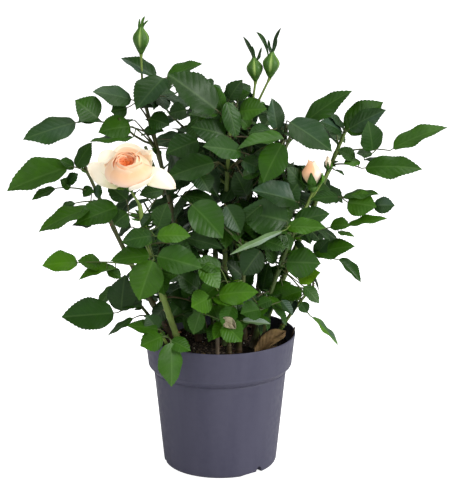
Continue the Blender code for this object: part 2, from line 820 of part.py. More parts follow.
def side_twigs(cane, rng):
    """The side twigs that the rule sends out of the leafy end, each with a leaf at every ring."""
    first = cane_share(cane, cane.leafy_from * MM)
    turn = rng.uniform(0, 2 * math.pi)
    for i in range(cane.twigs):
        start = cane_point(cane, first + (1 - first) * (0.15 + 0.7 * (i + 0.5) / cane.twigs))
        turn += GOLDEN_ANGLE
        away = Vector((start.x, start.y, 0)).normalized()
        outward = (Vector((math.cos(turn), math.sin(turn), 0)) + away * 0.4).normalized()
        length = cane.reach * MM * rng.uniform(0.55, 0.8)
        knee = start + (outward * 0.55 + UP * 0.2) * length
        end = start + (outward * 0.8 + UP * 0.62) * length
        path = [bow(start, knee, end, k / (TWIG_RINGS - 1)) for k in range(TWIG_RINGS)]
        reach = cane.reach * MM * 0.8
        leaves = [
            rule_leaf(root, turn + TWIG_TURN * (k - 1), reach, rng) for k, root in enumerate(path[1:])
        ]
        yield path, leaves


# ---------------------------------------------------------------- flowers


def flower_stalk(cane, end):
    """A flower's stalk, from clear of its cane's tip to a little way into the flower's hip."""
    _, knee, start = cane_frame(cane)
    chord = (end - start).normalized()
    slant = chord.angle((start - knee).normalized())
    low, high = (radius * MM for radius in FLOWER_STALK_RADII)
    gap = (CLEARANCE + low * math.sin(slant)) / math.cos(slant)
    path = [start + chord * gap, (start + end) / 2, end + chord * 1.5 * MM]
    return tube(path, [low, (low + high) / 2, high], 5)


def axis_frame(axis):
    """Two unit vectors square to axis, the first as near to +X as it can be."""
    across = unit_across(axis, Vector((1, 0, 0)))
    return across, axis.cross(across)


def head_pieces(head):
    """A bud's turned body and its sepals."""
    base, tip = Vector(head.base) * MM, Vector(head.tip) * MM
    axis = (tip - base).normalized()
    length = (tip - base).length
    profile = [(r * head.radius * MM, h * length) for r, h in head.profile]
    pieces = [turned(profile, BUD_SIDES, base, axis)]
    across, other = axis_frame(axis)
    for sepal, bearing, lean in head.sepals:
        turn, off = math.radians(bearing), math.radians(lean)
        outward = across * math.cos(turn) + other * math.sin(turn)
        root = base + axis * length * 0.5 + outward * head.radius * MM * 0.7
        way = axis * math.cos(off) + outward * math.sin(off)
        size = sepal * MM
        blade = Leaflet(root, way, -unit_across(way, outward), size, size * SEPAL_WIDTH)
        pieces.append(blade_solid(blade, SEPAL_THICKNESS))
    return pieces


def petal_point(petal, base, axis, along, across_share):
    """A point of a petal, which bows off the axis and wraps round it."""
    across, other = axis_frame(axis)
    turn = math.radians(petal.bearing)
    outward = across * math.cos(turn) + other * math.sin(turn)
    start, end = math.radians(PETAL_START_DEG), math.radians(petal.opening)
    now = start + (end - start) * along
    length = petal.length * MM / (end - start)
    off = length * (math.cos(start) - math.cos(now))
    up = length * (math.sin(now) - math.sin(start))
    half = petal.width * MM / 2 * math.sqrt(math.sin(math.pi * (0.1 + 0.78 * along)))
    bend = max(off, PETAL_MIN_BEND * MM)
    wrap = across_share * half / bend
    wrapped = outward * math.cos(wrap) + axis.cross(outward) * math.sin(wrap)
    return base + axis * up + outward * (off - bend) + wrapped * bend


def bloom_pieces():
    """The open bloom: its hip and cup as one turned body, and its guard petals."""
    base, axis = Vector(BLOOM_BASE) * MM, Vector(BLOOM_AXIS).normalized()
    profile = [(r * BLOOM_RADIUS * MM, h * BLOOM_DEPTH * MM) for r, h in CUP_PROFILE]
    pieces = [turned(profile, CUP_SIDES, base, axis)]
    hip = base + axis * BLOOM_DEPTH * HIP_SHARE * MM
    along = [row / (PETAL_ROWS - 1) for row in range(PETAL_ROWS)]
    across = [2 * column / (PETAL_COLUMNS - 1) - 1 for column in range(PETAL_COLUMNS)]
    for petal in PETALS:
        grid = [[petal_point(petal, hip, axis, u, v) for v in across] for u in along]
        lift = (grid[0][2] - grid[0][1]).cross(grid[1][1] - grid[0][1]).normalized()
        pieces.append(sheet(grid, PETAL_THICKNESS, lift))
    return pieces


def flowers():
    """Each flower's name and its pieces."""
    canes = {cane.name: cane for cane in CANES}
    for name, (cane_name, heads) in BUDS.items():
        pieces = []
        for head in heads:
            pieces.append(flower_stalk(canes[cane_name], Vector(head.base) * MM))
            pieces += head_pieces(head)
        yield name, pieces
    stalk = flower_stalk(canes[BLOOM_CANE], Vector(BLOOM_BASE) * MM)
    yield "open_bloom", [stalk, *bloom_pieces()]


# ---------------------------------------------------------------- room to grow


class Space:
    """Where solids already stand, so that nothing is grown through a neighbour."""

    def __init__(self):
        self.taken = []

    def add(self, owner, piece):
        self.taken.append((owner, *box_of(piece), tree_of(piece)))

    def is_free(self, piece, ignoring=None):
        low, high = box_of(piece)
        tree = None
        for owner, other_low, other_high, other in self.taken:
            if owner == ignoring:
                continue
            if any(low[k] > other_high[k] or high[k] < other_low[k] for k in range(3)):
                continue
            tree = tree or tree_of(piece)
            if tree.overlap(other):
                return False
        return True


def box_of(piece):
    low = [min(p[k] for p in piece.points) - CLEARANCE for k in range(3)]
    high = [max(p[k] for p in piece.points) + CLEARANCE for k in range(3)]
    return low, high


def tree_of(piece):
    return BVHTree.FromPolygons([tuple(p) for p in piece.points], piece.faces)


def shoot_piece(cane):
    """The cane's leafy end, which starts clear of the bare cane below it."""
    first = cane_share(cane, cane.leafy_from * MM)
    length = (cane_point(cane, 1) - cane_point(cane, first)).length
    start = first + (1 - first) * CLEARANCE / length
    return cane_tube(cane, start, 1, SHOOT_RINGS, SHOOT_SIDES)


def grow_masses(space):
    """Every mass of foliage, as lists of pieces that a union then joins.

    Leaves placed by hand come first on all canes, so that the rule fills what they leave.
    """
    masses = {cane.name: [shoot_piece(cane)] for cane in CANES}
    for index, cane in enumerate(CANES):
        rng = random.Random(PLACED_SEED + index)
        for growth in placed_growths(cane, rng):
            masses[cane.name] += leaf_with_room(growth, cane.name, space)
    for index, cane in enumerate(CANES):
        rng = random.Random(RULE_SEED + index)
        for growth in filled_growths(cane, rng):
            if is_in_crown(growth.leaflets[0].base):
                masses[cane.name] += leaf_with_room(growth, cane.name, space)
        for path, leaves in side_twigs(cane, rng):
            masses[cane.name] += twig_with_room(path, leaves, cane.name, space)
    return masses


def twig_with_room(path, leaves, own, space):
    """A side twig and its leaves, as far as they touch nothing else."""
    thick, thin = TWIG_RADII
    radii = [thick + (thin - thick) * k / (TWIG_RINGS - 1) for k in range(TWIG_RINGS)]
    wide = tube(path, [radius + 2 * CLEARANCE for radius in radii], 4)
    if not (is_in_crown(path[-1]) and space.is_free(wide, own)):
        return []
    space.add(own, wide)
    pieces = [tube(path, radii, 3)]
    for growth in leaves:
        if is_in_crown(growth.leaflets[0].base):
            pieces += leaf_with_room(growth, own, space)
    return pieces


def leaf_with_room(growth, own, space):
    """A compound leaf as a list of one piece, without the leaflets that touch something."""
    path = [bow(*growth.stalk, share) for share in (0, 0.5, 1)]
    stalk = tube(path, [STALK_RADIUS + 3 * CLEARANCE] * 3, 4)
    if not space.is_free(stalk, own):
        return []
    tests = [blade_solid(leaf, TEST_THICKNESS) for leaf in growth.leaflets]
    kept = [i for i, test in enumerate(tests) if space.is_free(test, own)]
    if 0 not in kept:
        return []
    space.add(own, stalk)
    for i in kept:
        space.add(own + "_leaf", tests[i])
    return [leaf_plate(growth, kept)]


# ---------------------------------------------------------------- the whole plant


def build_plant():
    clear_scene()
    leaf_green = material("leaf_green", (0.06, 0.13, 0.04), 0.5)
    stem_green = material("stem_green", (0.12, 0.17, 0.05), 0.6)
    petal = material("petal_peach", (0.80, 0.52, 0.34), 0.5)
    plastic = material("pot_plastic", (0.09, 0.09, 0.12), 0.5)
    earth = material("potting_soil", (0.03, 0.02, 0.015), 0.95)

    build_pot(plastic)
    build_soil(earth)
    space = Space()
    space.add("pot", lathe(pot_profile(), POT_SIDES))
    for cane in CANES:
        entry = cane_share(cane, cane.leafy_from * MM)
        lower = cane_tube(cane, 0, entry, CANE_RINGS, CANE_SIDES, level_foot=True)
        shade_round(object_from("cane_" + cane.name, lower, stem_green))
        space.add("cane", lower)
        space.add(cane.name, cane_tube(cane, entry, 1, SHOOT_RINGS, SHOOT_SIDES))
    for name, pieces in flowers():
        surface = petal if name == "open_bloom" else stem_green
        fuse(name, pieces, surface)
        for piece in pieces:
            space.add(name, piece)
    for name, pieces in grow_masses(space).items():
        fuse("foliage_" + name, pieces, leaf_green)


build_plant()
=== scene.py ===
"""The looks of a patio rose in a round plastic nursery pot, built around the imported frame.

The plant is grown here by the same rule as its solids, from the same named sizes and seeds, and is
carried finer: canes get their skin and prickles, every leaf gets its stalk, stipules and serrated
leaflets, and the flowers get their petals one by one. Lengths in the tables are in mm.
"""

import logging
import math
import random
from collections.abc import Iterable, Iterator
from dataclasses import dataclass, field
from enum import Enum
from typing import Any

import bpy
from mathutils import Matrix, Vector
from mathutils.bvhtree import BVHTree

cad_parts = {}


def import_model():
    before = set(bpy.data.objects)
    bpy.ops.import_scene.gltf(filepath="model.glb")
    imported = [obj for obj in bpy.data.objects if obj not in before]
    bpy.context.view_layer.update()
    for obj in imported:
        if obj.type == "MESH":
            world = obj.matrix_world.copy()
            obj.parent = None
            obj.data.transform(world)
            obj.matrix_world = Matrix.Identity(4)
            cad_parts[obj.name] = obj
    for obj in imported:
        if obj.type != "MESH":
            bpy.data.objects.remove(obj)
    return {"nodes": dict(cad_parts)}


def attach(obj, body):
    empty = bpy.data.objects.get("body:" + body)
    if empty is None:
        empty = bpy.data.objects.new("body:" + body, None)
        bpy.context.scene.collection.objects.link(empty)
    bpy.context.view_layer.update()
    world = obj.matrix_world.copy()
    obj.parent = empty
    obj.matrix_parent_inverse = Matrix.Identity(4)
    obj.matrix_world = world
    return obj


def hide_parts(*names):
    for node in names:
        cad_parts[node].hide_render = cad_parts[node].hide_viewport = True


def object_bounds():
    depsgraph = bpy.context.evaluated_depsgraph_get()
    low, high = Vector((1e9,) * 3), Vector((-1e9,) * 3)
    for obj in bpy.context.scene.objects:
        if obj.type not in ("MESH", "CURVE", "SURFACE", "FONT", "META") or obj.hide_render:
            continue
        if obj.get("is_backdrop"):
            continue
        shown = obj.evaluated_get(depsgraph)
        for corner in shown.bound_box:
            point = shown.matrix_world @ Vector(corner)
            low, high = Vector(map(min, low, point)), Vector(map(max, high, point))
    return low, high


LOG = logging.getLogger("patio_rose")

MM = 0.001
UP = Vector((0, 0, 1))
FRONT = Vector((0, -1, 0))
BODY = "root"

SOIL_LEVEL = 108 * MM
CLEARANCE = 0.3 * MM
GOLDEN_ANGLE = math.radians(137.5)

# The seeds of the rule and of the fine variation, how much broader the leaflets are drawn than the
# rule's, and how many finer leaves are offered for each of a cane's own.
RULE_SEED = 77
FINE_SEED = 505
BROADER = 1.10
FINE_TRIES = 12

# How near a leaflet's marks have to lie to its mass, how many of them, and how thick a plate each
# leaflet is taken for when it is tried and when it is kept.
MARK_REACH = 0.6 * MM
MARKS_NEEDED = 5
TRIED_PLATE = 1.2 * MM
KEPT_PLATE = 0.8 * MM

# The rule's sizes, as in the solids: the end leaflet's longest share of the leaf, each side pair's
# size and place on the stalk, less so much for each pair further in, and how far all of them vary.
LONGEST_BLADE = 0.75
PAIR_SIZE = (0.82, 0.12)
PAIR_PLACE = (0.78, 0.3)
PAIR_TURN_DEG = 9
PAIR_TILT_DEG = 20
PAIR_LIFT = 0.12
LEAF_WIDTH = 0.58
LEAF_MIDDLE = 0.45
LEAF_FOLD = 0.10
LEAF_ARCH = 0.16
LEAF_CORNERS = ((0.28, 0.5), (0.66, 0.44))
STALK_RISE = 0.12
STALK_KNEE = 0.45
RULE_DROOP_DEG = (8, 52)
RULE_LEAFLETS = 3
TWIG_RADII = (1.25 * MM, 0.8 * MM)
TWIG_RINGS = 5
TWIG_TURN = 2.2
CROWN_OUTLINE = ((110 * MM, 70 * MM), (150 * MM, 128 * MM), (260 * MM, 158 * MM), (350 * MM, 92 * MM))
CROWN_TOP = 362 * MM
CROWN_DEPTH = 0.95  # a share of its width

# The crown from the front, as the line of sight crosses the plant's middle plane, in mm: the
# outline that the rule's leaves fill, and the open gaps (left, low, right, high) in it.
VIEWER = Vector((0.006, -2.0, 0.75))
OUTLOOK = Vector((0, -0.963, 0.269))
CORE = (
    (-73, 352), (-50, 346), (-12, 344), (-5, 334), (17, 337), (39, 322), (55, 304), (70, 304), (86, 325), (109, 328),
    (105, 309), (136, 319), (138, 301), (111, 289), (96, 279), (91, 270), (95, 256), (93, 244), (131, 242), (133, 224),
    (106, 224), (93, 216), (92, 203), (111, 195), (101, 184), (86, 177), (84, 146), (64, 132), (57, 110), (-29, 105),
    (-47, 115), (-71, 123), (-88, 135), (-127, 130), (-124, 148), (-84, 169), (-96, 178), (-80, 193), (-89, 209),
    (-99, 223), (-110, 235), (-98, 245), (-86, 244), (-63, 238), (-42, 244), (-47, 265), (-57, 279), (-71, 287),
    (-105, 285), (-119, 303), (-117, 323), (-92, 332), (-70, 323), (-59, 339),
)
GAPS = (
    (-55, 268, -46, 286), (-33, 236, -2, 249), (-61, 224, -54, 237), (-77, 209, -67, 224), (-82, 191, -73, 198),
    (-83, 167, -73, 175), (-20, 183, 2, 191), (18, 237, 26, 249), (21, 163, 31, 175), (56, 265, 78, 285),
    (78, 266, 93, 279), (54, 163, 67, 168), (57, 218, 63, 228), (79, 196, 87, 202), (-18, 285, -9, 290),
    (-23, 298, -17, 313), (-72, 298, -59, 322), (19, 271, 27, 274), (29, 301, 41, 306), (22, 287, 36, 291),
    (-75, 287, -67, 297), (-50, 285, -44, 296), (83, 219, 106, 231), (-70, 132, -59, 146), (38, 182, 46, 186),
    (43, 150, 51, 155), (-33, 168, -27, 172),
)

Colour = tuple[float, float, float]


def linear(hex_code: str) -> Colour:
    """The linear colour of a hex code such as 3a5f2c."""
    shares = [int(hex_code[i : i + 2], 16) / 255 for i in (0, 2, 4)]
    return tuple(c / 12.92 if c <= 0.04045 else ((c + 0.055) / 1.055) ** 2.4 for c in shares)


def even_ramp(*codes: str) -> tuple[tuple[float, Colour], ...]:
    """A ramp's evenly spaced stops, from hex codes."""
    return tuple((index / (len(codes) - 1), linear(code)) for index, code in enumerate(codes))


def unit_across(direction: Vector, wanted: Vector) -> Vector:
    """The unit vector nearest to wanted that is square to direction.

    Args:
        direction: The unit vector that it is square to.
        wanted: The vector that it is near to.

    Returns:
        The unit vector.
    """
    across = wanted - wanted.dot(direction) * direction
    if across.length < 1e-4:
        across = FRONT - FRONT.dot(direction) * direction
    return across.normalized()


def axis_frame(axis: Vector) -> tuple[Vector, Vector]:
    """Two unit vectors square to axis, the first as near to +X as it can be."""
    across = unit_across(axis, Vector((1, 0, 0)))
    return across, axis.cross(across)


def bow(start: Vector, knee: Vector, end: Vector, share: float) -> Vector:
    """The point at share of the bow from start to end that is drawn by knee."""
    return start * (1 - share) ** 2 + knee * 2 * share * (1 - share) + end * share * share


def stalk_knee(start: Vector, base: Vector) -> Vector:
    """The knee that draws the bow of a leaf's stalk from its start to its end leaflet's base."""
    return start + (base - start) * STALK_KNEE + UP * (base - start).length * STALK_RISE


def ease(value: float, low: float, high: float) -> float:
    """A smooth step of value from 0 at low to 1 at high."""
    share = min(max((value - low) / (high - low), 0.0), 1.0)
    return share * share * (3 - 2 * share)


# ---------------------------------------------------------------- node trees


class Wire:
    """The value of a node's socket, which grows its tree when it is reckoned with."""

    def __init__(self, tree: "Tree", socket: bpy.types.NodeSocket) -> None:
        """Keeps the socket and the tree that it is in."""
        self.tree = tree
        self.socket = socket

    @property
    def is_vector(self) -> bool:
        """Whether the socket holds three numbers."""
        return self.socket.type == "VECTOR"

    def reckon(self, operation: str, *others: Any, first: Any = None) -> "Wire":
        """Adds a math node, of vectors where a vector is among its values.

        Args:
            operation: The math node's operation.
            others: The values that come after this one.
            first: A value that comes before this one.

        Returns:
            The node's result.
        """
        values = [self, *others] if first is None else [first, self]
        is_vector = any(isinstance(v, tuple) or getattr(v, "is_vector", False) for v in values)
        kind = "ShaderNodeVectorMath" if is_vector else "ShaderNodeMath"
        if is_vector:
            values = [(v, v, v) if isinstance(v, (int, float)) else v for v in values]
        return self.tree.add(kind, dict(enumerate(values)), operation=operation)

    def __add__(self, other: Any) -> "Wire":
        """The sum."""
        return self.reckon("ADD", other)

    def __sub__(self, other: Any) -> "Wire":
        """The difference."""
        return self.reckon("SUBTRACT", other)

    def __rsub__(self, other: Any) -> "Wire":
        """The difference from a plain value."""
        return self.reckon("SUBTRACT", first=other)

    def __mul__(self, other: Any) -> "Wire":
        """The product."""
        return self.reckon("MULTIPLY", other)

    def sine(self) -> "Wire":
        """The sine."""
        return self.reckon("SINE")

    def size(self) -> "Wire":
        """The value without its sign."""
        return self.reckon("ABSOLUTE")

    def cross(self, other: "Wire") -> "Wire":
        """The cross product of two vectors."""
        return self.reckon("CROSS_PRODUCT", other)

    def step(self, low: float, high: float) -> "Wire":
        """A smooth step of the value, from 0 at low to 1 at high."""
        inputs = {0: self, 1: low, 2: high, 3: 0.0, 4: 1.0}
        return self.tree.add("ShaderNodeMapRange", inputs, interpolation_type="SMOOTHSTEP")

    def between(self, low: float, high: float) -> "Wire":
        """Turns a value of 0 to 1 into one of low to high."""
        return self.tree.add("ShaderNodeMapRange", {0: self, 1: 0.0, 2: 1.0, 3: low, 4: high})


class Tree:
    """A node tree under construction."""

    def __init__(self, nodes: bpy.types.NodeTree) -> None:
        """Keeps the node tree, and its group sockets where it has them.

        Args:
            nodes: The node tree to build in.
        """
        self.nodes = nodes
        self.source: bpy.types.Node | None = None
        self.sink: bpy.types.Node | None = None

    @classmethod
    def group(cls, name: str, kind: str, inputs: dict[str, tuple], outputs: dict[str, str]) -> "Tree":
        """Starts a group with named sockets.

        Args:
            name: The group's name.
            kind: ShaderNodeTree or GeometryNodeTree.
            inputs: Each input's socket type and its default, by name.
            outputs: Each output's socket type, by name.

        Returns:
            The tree, with its group input and output.
        """
        nodes = bpy.data.node_groups.new(name, kind)
        for label, (socket, default) in inputs.items():
            made = nodes.interface.new_socket(label, in_out="INPUT", socket_type="NodeSocket" + socket)
            if default is not None:
                made.default_value = default
        for label, socket in outputs.items():
            nodes.interface.new_socket(label, in_out="OUTPUT", socket_type="NodeSocket" + socket)
        tree = cls(nodes)
        tree.source = nodes.nodes.new("NodeGroupInput")
        tree.sink = nodes.nodes.new("NodeGroupOutput")
        return tree

    def plug(self, socket: bpy.types.NodeSocket, value: Any) -> None:
        """Links a wire to a socket, or sets the socket's own value.

        Args:
            socket: The socket.
            value: A wire, a plain value or a colour. None leaves the socket alone.
        """
        if isinstance(value, Wire):
            self.nodes.links.new(value.socket, socket)
        elif value is not None:
            is_colour = socket.type == "RGBA" and len(value) == 3
            socket.default_value = (*value, 1.0) if is_colour else value

    def node(self, kind: str, inputs: dict[Any, Any] | None = None, **settings: Any) -> bpy.types.Node:
        """Adds a node with its settings and its inputs, by socket name or number.

        Args:
            kind: The node's type.
            inputs: Its inputs, by socket name or number.
            settings: The node's own settings.

        Returns:
            The node.
        """
        node = self.nodes.nodes.new(kind)
        for key, value in settings.items():
            setattr(node, key, value)
        for key, value in (inputs or {}).items():
            self.plug(node.inputs[key], value)
        return node

    def add(self, kind: str, inputs: dict[Any, Any] | None = None, out: Any = 0, **settings: Any) -> Wire:
        """Adds a node and gives one of its outputs.

        Args:
            kind: The node's type.
            inputs: Its inputs, by socket name or number.
            out: The output's name or number.
            settings: The node's own settings.

        Returns:
            The wire of that output.
        """
        return Wire(self, self.node(kind, inputs, **settings).outputs[out])

    def input(self, name: str) -> Wire:
        """The group's input of that name."""
        return Wire(self, self.source.outputs[name])

    def output(self, name: str, value: Wire) -> None:
        """Gives the group's output of that name its value."""
        self.plug(self.sink.inputs[name], value)

    def held(self, name: str, kind: str = "FLOAT") -> Wire:
        """A value that the geometry holds by that name."""
        return self.add("GeometryNodeInputNamedAttribute", {"Name": name}, data_type=kind)

    def dressed(self, mesh: Wire, surface: str, chosen: Wire | None = None) -> Wire:
        """A mesh, or the chosen faces of it, in the material of the group's input of that name."""
        inputs = {"Geometry": mesh, "Selection": chosen, "Material": self.input(surface)}
        return self.add("GeometryNodeSetMaterial", inputs)

    def chance(self, least: tuple, most: tuple, seed: Wire) -> Wire:
        """A vector at random for each point, between least and most."""
        return self.add("FunctionNodeRandomValue", {0: least, 1: most, "Seed": seed}, data_type="FLOAT_VECTOR")

    def noise(self, scale: Any, detail: float = 2.0, vector: Wire | None = None, roughness: float = 0.5) -> Wire:
        """A noise texture's value."""
        inputs = {"Vector": vector, "Scale": scale, "Detail": detail, "Roughness": roughness}
        return self.add("ShaderNodeTexNoise", inputs)

    def blend(self, share: Any, first: Any, second: Any, kind: str = "MIX") -> Wire:
        """The mix of two colours."""
        inputs = {0: share, 6: first, 7: second}
        return self.add("ShaderNodeMix", inputs, out=2, data_type="RGBA", blend_type=kind)


class MaterialTree(Tree):
    """A material's node tree, with its Principled shader."""

    def __init__(self, name: str, effects: "Effects | None" = None) -> None:
        """Makes the material.

        Args:
            name: The material's name.
            effects: The shared shader groups, where it uses them.
        """
        self.effects = effects
        self.material = bpy.data.materials.new(name)
        self.material.use_nodes = True
        super().__init__(self.material.node_tree)
        self.shader = self.nodes.nodes["Principled BSDF"]
        self.place = self.add("ShaderNodeTexCoord", out="Object")

    def attribute(self, name: str) -> Wire:
        """A value that the mesh holds for each point."""
        return self.add("ShaderNodeAttribute", out="Fac", attribute_name=name)

    def blade(self) -> tuple[Wire, Wire]:
        """How far along and how far across its blade a point is.

        Returns:
            The wires of along (0 to 1) and across (-0.5 to 0.5).
        """
        where = self.add("ShaderNodeUVMap", uv_map="blade")
        split = self.node("ShaderNodeSeparateXYZ", {0: where})
        return Wire(self, split.outputs["Y"]), Wire(self, split.outputs["X"]) - 0.5

    def effect(self, group: bpy.types.NodeTree, inputs: dict[str, Any]) -> dict[str, Wire]:
        """Places a shared effect and gives its outputs by name.

        Args:
            group: The shared effect.
            inputs: Its inputs, by name.

        Returns:
            Its outputs, by name.
        """
        node = self.nodes.nodes.new("ShaderNodeGroup")
        node.node_tree = group
        for name, value in inputs.items():
            self.plug(node.inputs[name], value)
        return {socket.name: Wire(self, socket) for socket in node.outputs}

    def mottle(self, colour: Any, patch: Any, scale: float, amount: Any, spot: Wire | None = None) -> dict[str, Wire]:
        """Mottles a colour.

        Args:
            colour: The colour.
            patch: The patches' colour.
            scale: How fine they are.
            amount: How strong they are.
            spot: The place that they follow, if it isn't the point's own.

        Returns:
            The outputs Colour and Patches.
        """
        inputs = {"Place": spot or self.place, "Colour": colour, "Patch": patch, "Scale": scale, "Amount": amount}
        return self.effect(self.effects.mottle, inputs)

    def grain(self, scale: float, coarse: float, spot: Wire | None = None) -> Wire:
        """A fine grain's height, of that scale and share of coarse noise."""
        inputs = {"Place": spot or self.place, "Scale": scale, "Coarse": coarse}
        return self.effect(self.effects.grain, inputs)["Height"]

    def ramp(self, value: Wire, stops: Iterable[tuple[float, Colour]]) -> Wire:
        """A colour read from a row of stops.

        Args:
            value: The value that is looked up.
            stops: Places and their colours, from low to high.

        Returns:
            The colour.
        """
        node = self.node("ShaderNodeValToRGB", {0: value})
        marks = node.color_ramp.elements
        for index, (place, colour) in enumerate(stops):
            mark = marks[index] if index < 2 else marks.new(place)
            mark.position = place
            mark.color = (*colour, 1)
        return Wire(self, node.outputs["Color"])

    def bump(self, height: Wire, distance: float, strength: float = 1.0, under: Wire | None = None) -> Wire:
        """A bump of that distance, in metres, over an earlier one."""
        inputs = {"Strength": strength, "Distance": distance, "Height": height, "Normal": under}
        return self.add("ShaderNodeBump", inputs)

    def finish(self, **inputs: Any) -> bpy.types.Material:
        """Sets the shader's inputs, named with underscores for their spaces, and gives the material.

        Args:
            inputs: Wires or plain values, by the shader input's name.

        Returns:
            The material.
        """
        for name, value in inputs.items():
            self.plug(self.shader.inputs[name.replace("_", " ").title().replace("Ior", "IOR")], value)
        return self.material


# ---------------------------------------------------------------- shared effects


class Effects:
    """The shader groups that several finishes share."""

    def __init__(self) -> None:
        """Builds each group once."""
        self.mottle = self._mottle()
        self.veins = self._veins()
        self.grain = self._grain()
        self.dust = self._dust()

    def _mottle(self) -> bpy.types.NodeTree:
        """Patches of lighter and darker colour, and a value that follows them.

        Returns:
            The shader group.
        """
        tree = Tree.group(
            "mottle", "ShaderNodeTree",
            {
                "Place": ("Vector", None), "Colour": ("Color", (0.5, 0.5, 0.5, 1)),
                "Patch": ("Color", (0.3, 0.3, 0.3, 1)), "Scale": ("Float", 60.0), "Amount": ("Float", 0.5),
            },
            {"Colour": "Color", "Patches": "Float"},
        )
        patches = tree.noise(tree.input("Scale"), 3.0, tree.input("Place")).step(0.34, 0.68)
        share = patches * tree.input("Amount")
        tree.output("Colour", tree.blend(share, tree.input("Colour"), tree.input("Patch")))
        tree.output("Patches", patches)
        return tree.nodes

    def _veins(self) -> bpy.types.NodeTree:
        """A blade's midrib and side veins, and the quilting between them, by its place on the blade.

        Returns:
            The shader group.
        """
        tree = Tree.group(
            "blade_veins", "ShaderNodeTree",
            {"Along": ("Float", 0.0), "Across": ("Float", 0.0), "Pairs": ("Float", 8.0), "Slant": ("Float", 0.5)},
            {"Midrib": "Float", "Veins": "Float", "Quilt": "Float"},
        )
        along, across = tree.input("Along"), tree.input("Across")
        off = across.size()
        side = across.reckon("GREATER_THAN", 0.0) * 0.5
        count = (along - off * tree.input("Slant")) * tree.input("Pairs") + side
        cell = count.reckon("FRACT")
        tree.output("Midrib", 1.0 - off.step(0.0, 0.045))
        edge = (cell - 0.5).size()
        tree.output("Veins", edge.step(0.40, 0.5) * (1.0 - off.step(0.30, 0.5)))
        tree.output("Quilt", (cell * math.pi).sine() * off.step(0.02, 0.12))
        return tree.nodes

    def _grain(self) -> bpy.types.NodeTree:
        """A fine grain as a height, from coarse and fine noise.

        Returns:
            The shader group.
        """
        tree = Tree.group(
            "fine_grain", "ShaderNodeTree",
            {"Place": ("Vector", None), "Scale": ("Float", 900.0), "Coarse": ("Float", 0.4)}, {"Height": "Float"},
        )
        scale = tree.input("Scale")
        fine = tree.noise(scale, 3.0, tree.input("Place"))
        coarse = tree.noise(scale * 0.18, 2.0, tree.input("Place"))
        share = tree.input("Coarse")
        tree.output("Height", fine * (1.0 - share) + coarse * share)
        return tree.nodes

    def _dust(self) -> bpy.types.NodeTree:
        """Dust that lies thickest where a surface faces up, as a mask and a duller colour.

        Returns:
            The shader group.
        """
        tree = Tree.group(
            "dust", "ShaderNodeTree",
            {
                "Place": ("Vector", None), "Colour": ("Color", (0.1, 0.1, 0.1, 1)),
                "Dust": ("Color", (0.3, 0.28, 0.25, 1)), "Amount": ("Float", 0.2),
            },
            {"Colour": "Color", "Mask": "Float"},
        )
        normal = tree.add("ShaderNodeNewGeometry", out="Normal")
        facing = Wire(tree, tree.node("ShaderNodeSeparateXYZ", {0: normal}).outputs["Z"])
        specks = tree.noise(140.0, 4.0, tree.input("Place"), 0.7).step(0.45, 0.75)
        mask = facing.step(-0.2, 1.0) * specks * tree.input("Amount")
        tree.output("Colour", tree.blend(mask, tree.input("Colour"), tree.input("Dust")))
        tree.output("Mask", mask)
        return tree.nodes


# ---------------------------------------------------------------- finishes
# MOTTLE and its like hold (scale, amount), GRAIN (scale, coarse share) and BUMP (distance, strength).


@dataclass(frozen=True)
class LeafFinish:
    """One side of the leaflets: its greens from old and dark to young, and how its veins show."""

    name: str
    greens: tuple[tuple[float, Colour], ...]
    # grey is the colour of a painted grey sheen on living leaves, and of darker blotches on dried ones.
    grey: Colour
    vein: Colour
    vein_share: float
    roughness: tuple[float, float]
    quilt: float
    gloss: float = 0.25
    patches: float = 70.0

    SHADOW = (0.55, 0.62, 0.5)
    MOTTLE_SHARE = 0.55
    CLOUD_SCALE = 0.65
    # HALF_EDGE, HALF_GREY and HALF_SHADE give one half of a blade painted shade and take part of its painted grey sheen
    # off that half; RIM_SHADE is painted shade towards the rims.
    HALF_EDGE = 30.0
    HALF_GREY = 0.6
    HALF_SHADE = 0.45
    SIDE_VEIN = 0.16
    RIM_SHADE = 0.18
    GRAIN = (1500.0, 0.3)
    GRAIN_HEIGHT = 0.25
    BUMP = (0.6 * MM, 0.8)

    def build(self, effects: Effects) -> bpy.types.Material:
        """Builds the material.

        Args:
            effects: The shared shader groups.

        Returns:
            The material.
        """
        tree = MaterialTree(self.name, effects)
        along, across = tree.blade()
        veins = tree.effect(effects.veins, {"Along": along, "Across": across})
        green = tree.ramp(tree.attribute("tone"), self.greens)
        # patch, the green multiplied by SHADOW, colours the mottled patches and the painted shade.
        patch = tree.blend(1.0, green, self.SHADOW, "MULTIPLY")
        mottled = tree.mottle(green, patch, self.patches, self.MOTTLE_SHARE)
        # half is one side of each blade's midrib, picked by the half attribute: that side gets less of the painted grey
        # sheen, and painted shade of its own.
        half = (across * tree.attribute("half") * self.HALF_EDGE).step(0.0, 1.0)
        # Noise patches scaled by the grey attribute: a painted grey sheen on living leaves, darker blotches on dried
        # ones.
        sheen_and_blotches = tree.noise(self.patches * self.CLOUD_SCALE, 3.0, tree.place).step(0.25, 0.7) * tree.attribute("grey")
        base = tree.blend(sheen_and_blotches * (1.0 - half * self.HALF_GREY), mottled["Colour"], self.grey)
        base = tree.blend(half * self.HALF_SHADE, base, patch)
        share = veins["Midrib"] * self.vein_share + veins["Veins"] * (self.vein_share * self.SIDE_VEIN)
        base = tree.blend(share, base, self.vein)
        # Painted shade towards the rims.
        base = tree.blend(across.size().step(0.2, 0.5) * self.RIM_SHADE, base, patch)
        grain = tree.grain(*self.GRAIN)
        height = veins["Quilt"] * self.quilt + grain * self.GRAIN_HEIGHT
        return tree.finish(
            base_color=base, roughness=mottled["Patches"].between(*self.roughness), specular_ior_level=self.gloss,
            normal=tree.bump(height, *self.BUMP),
        )


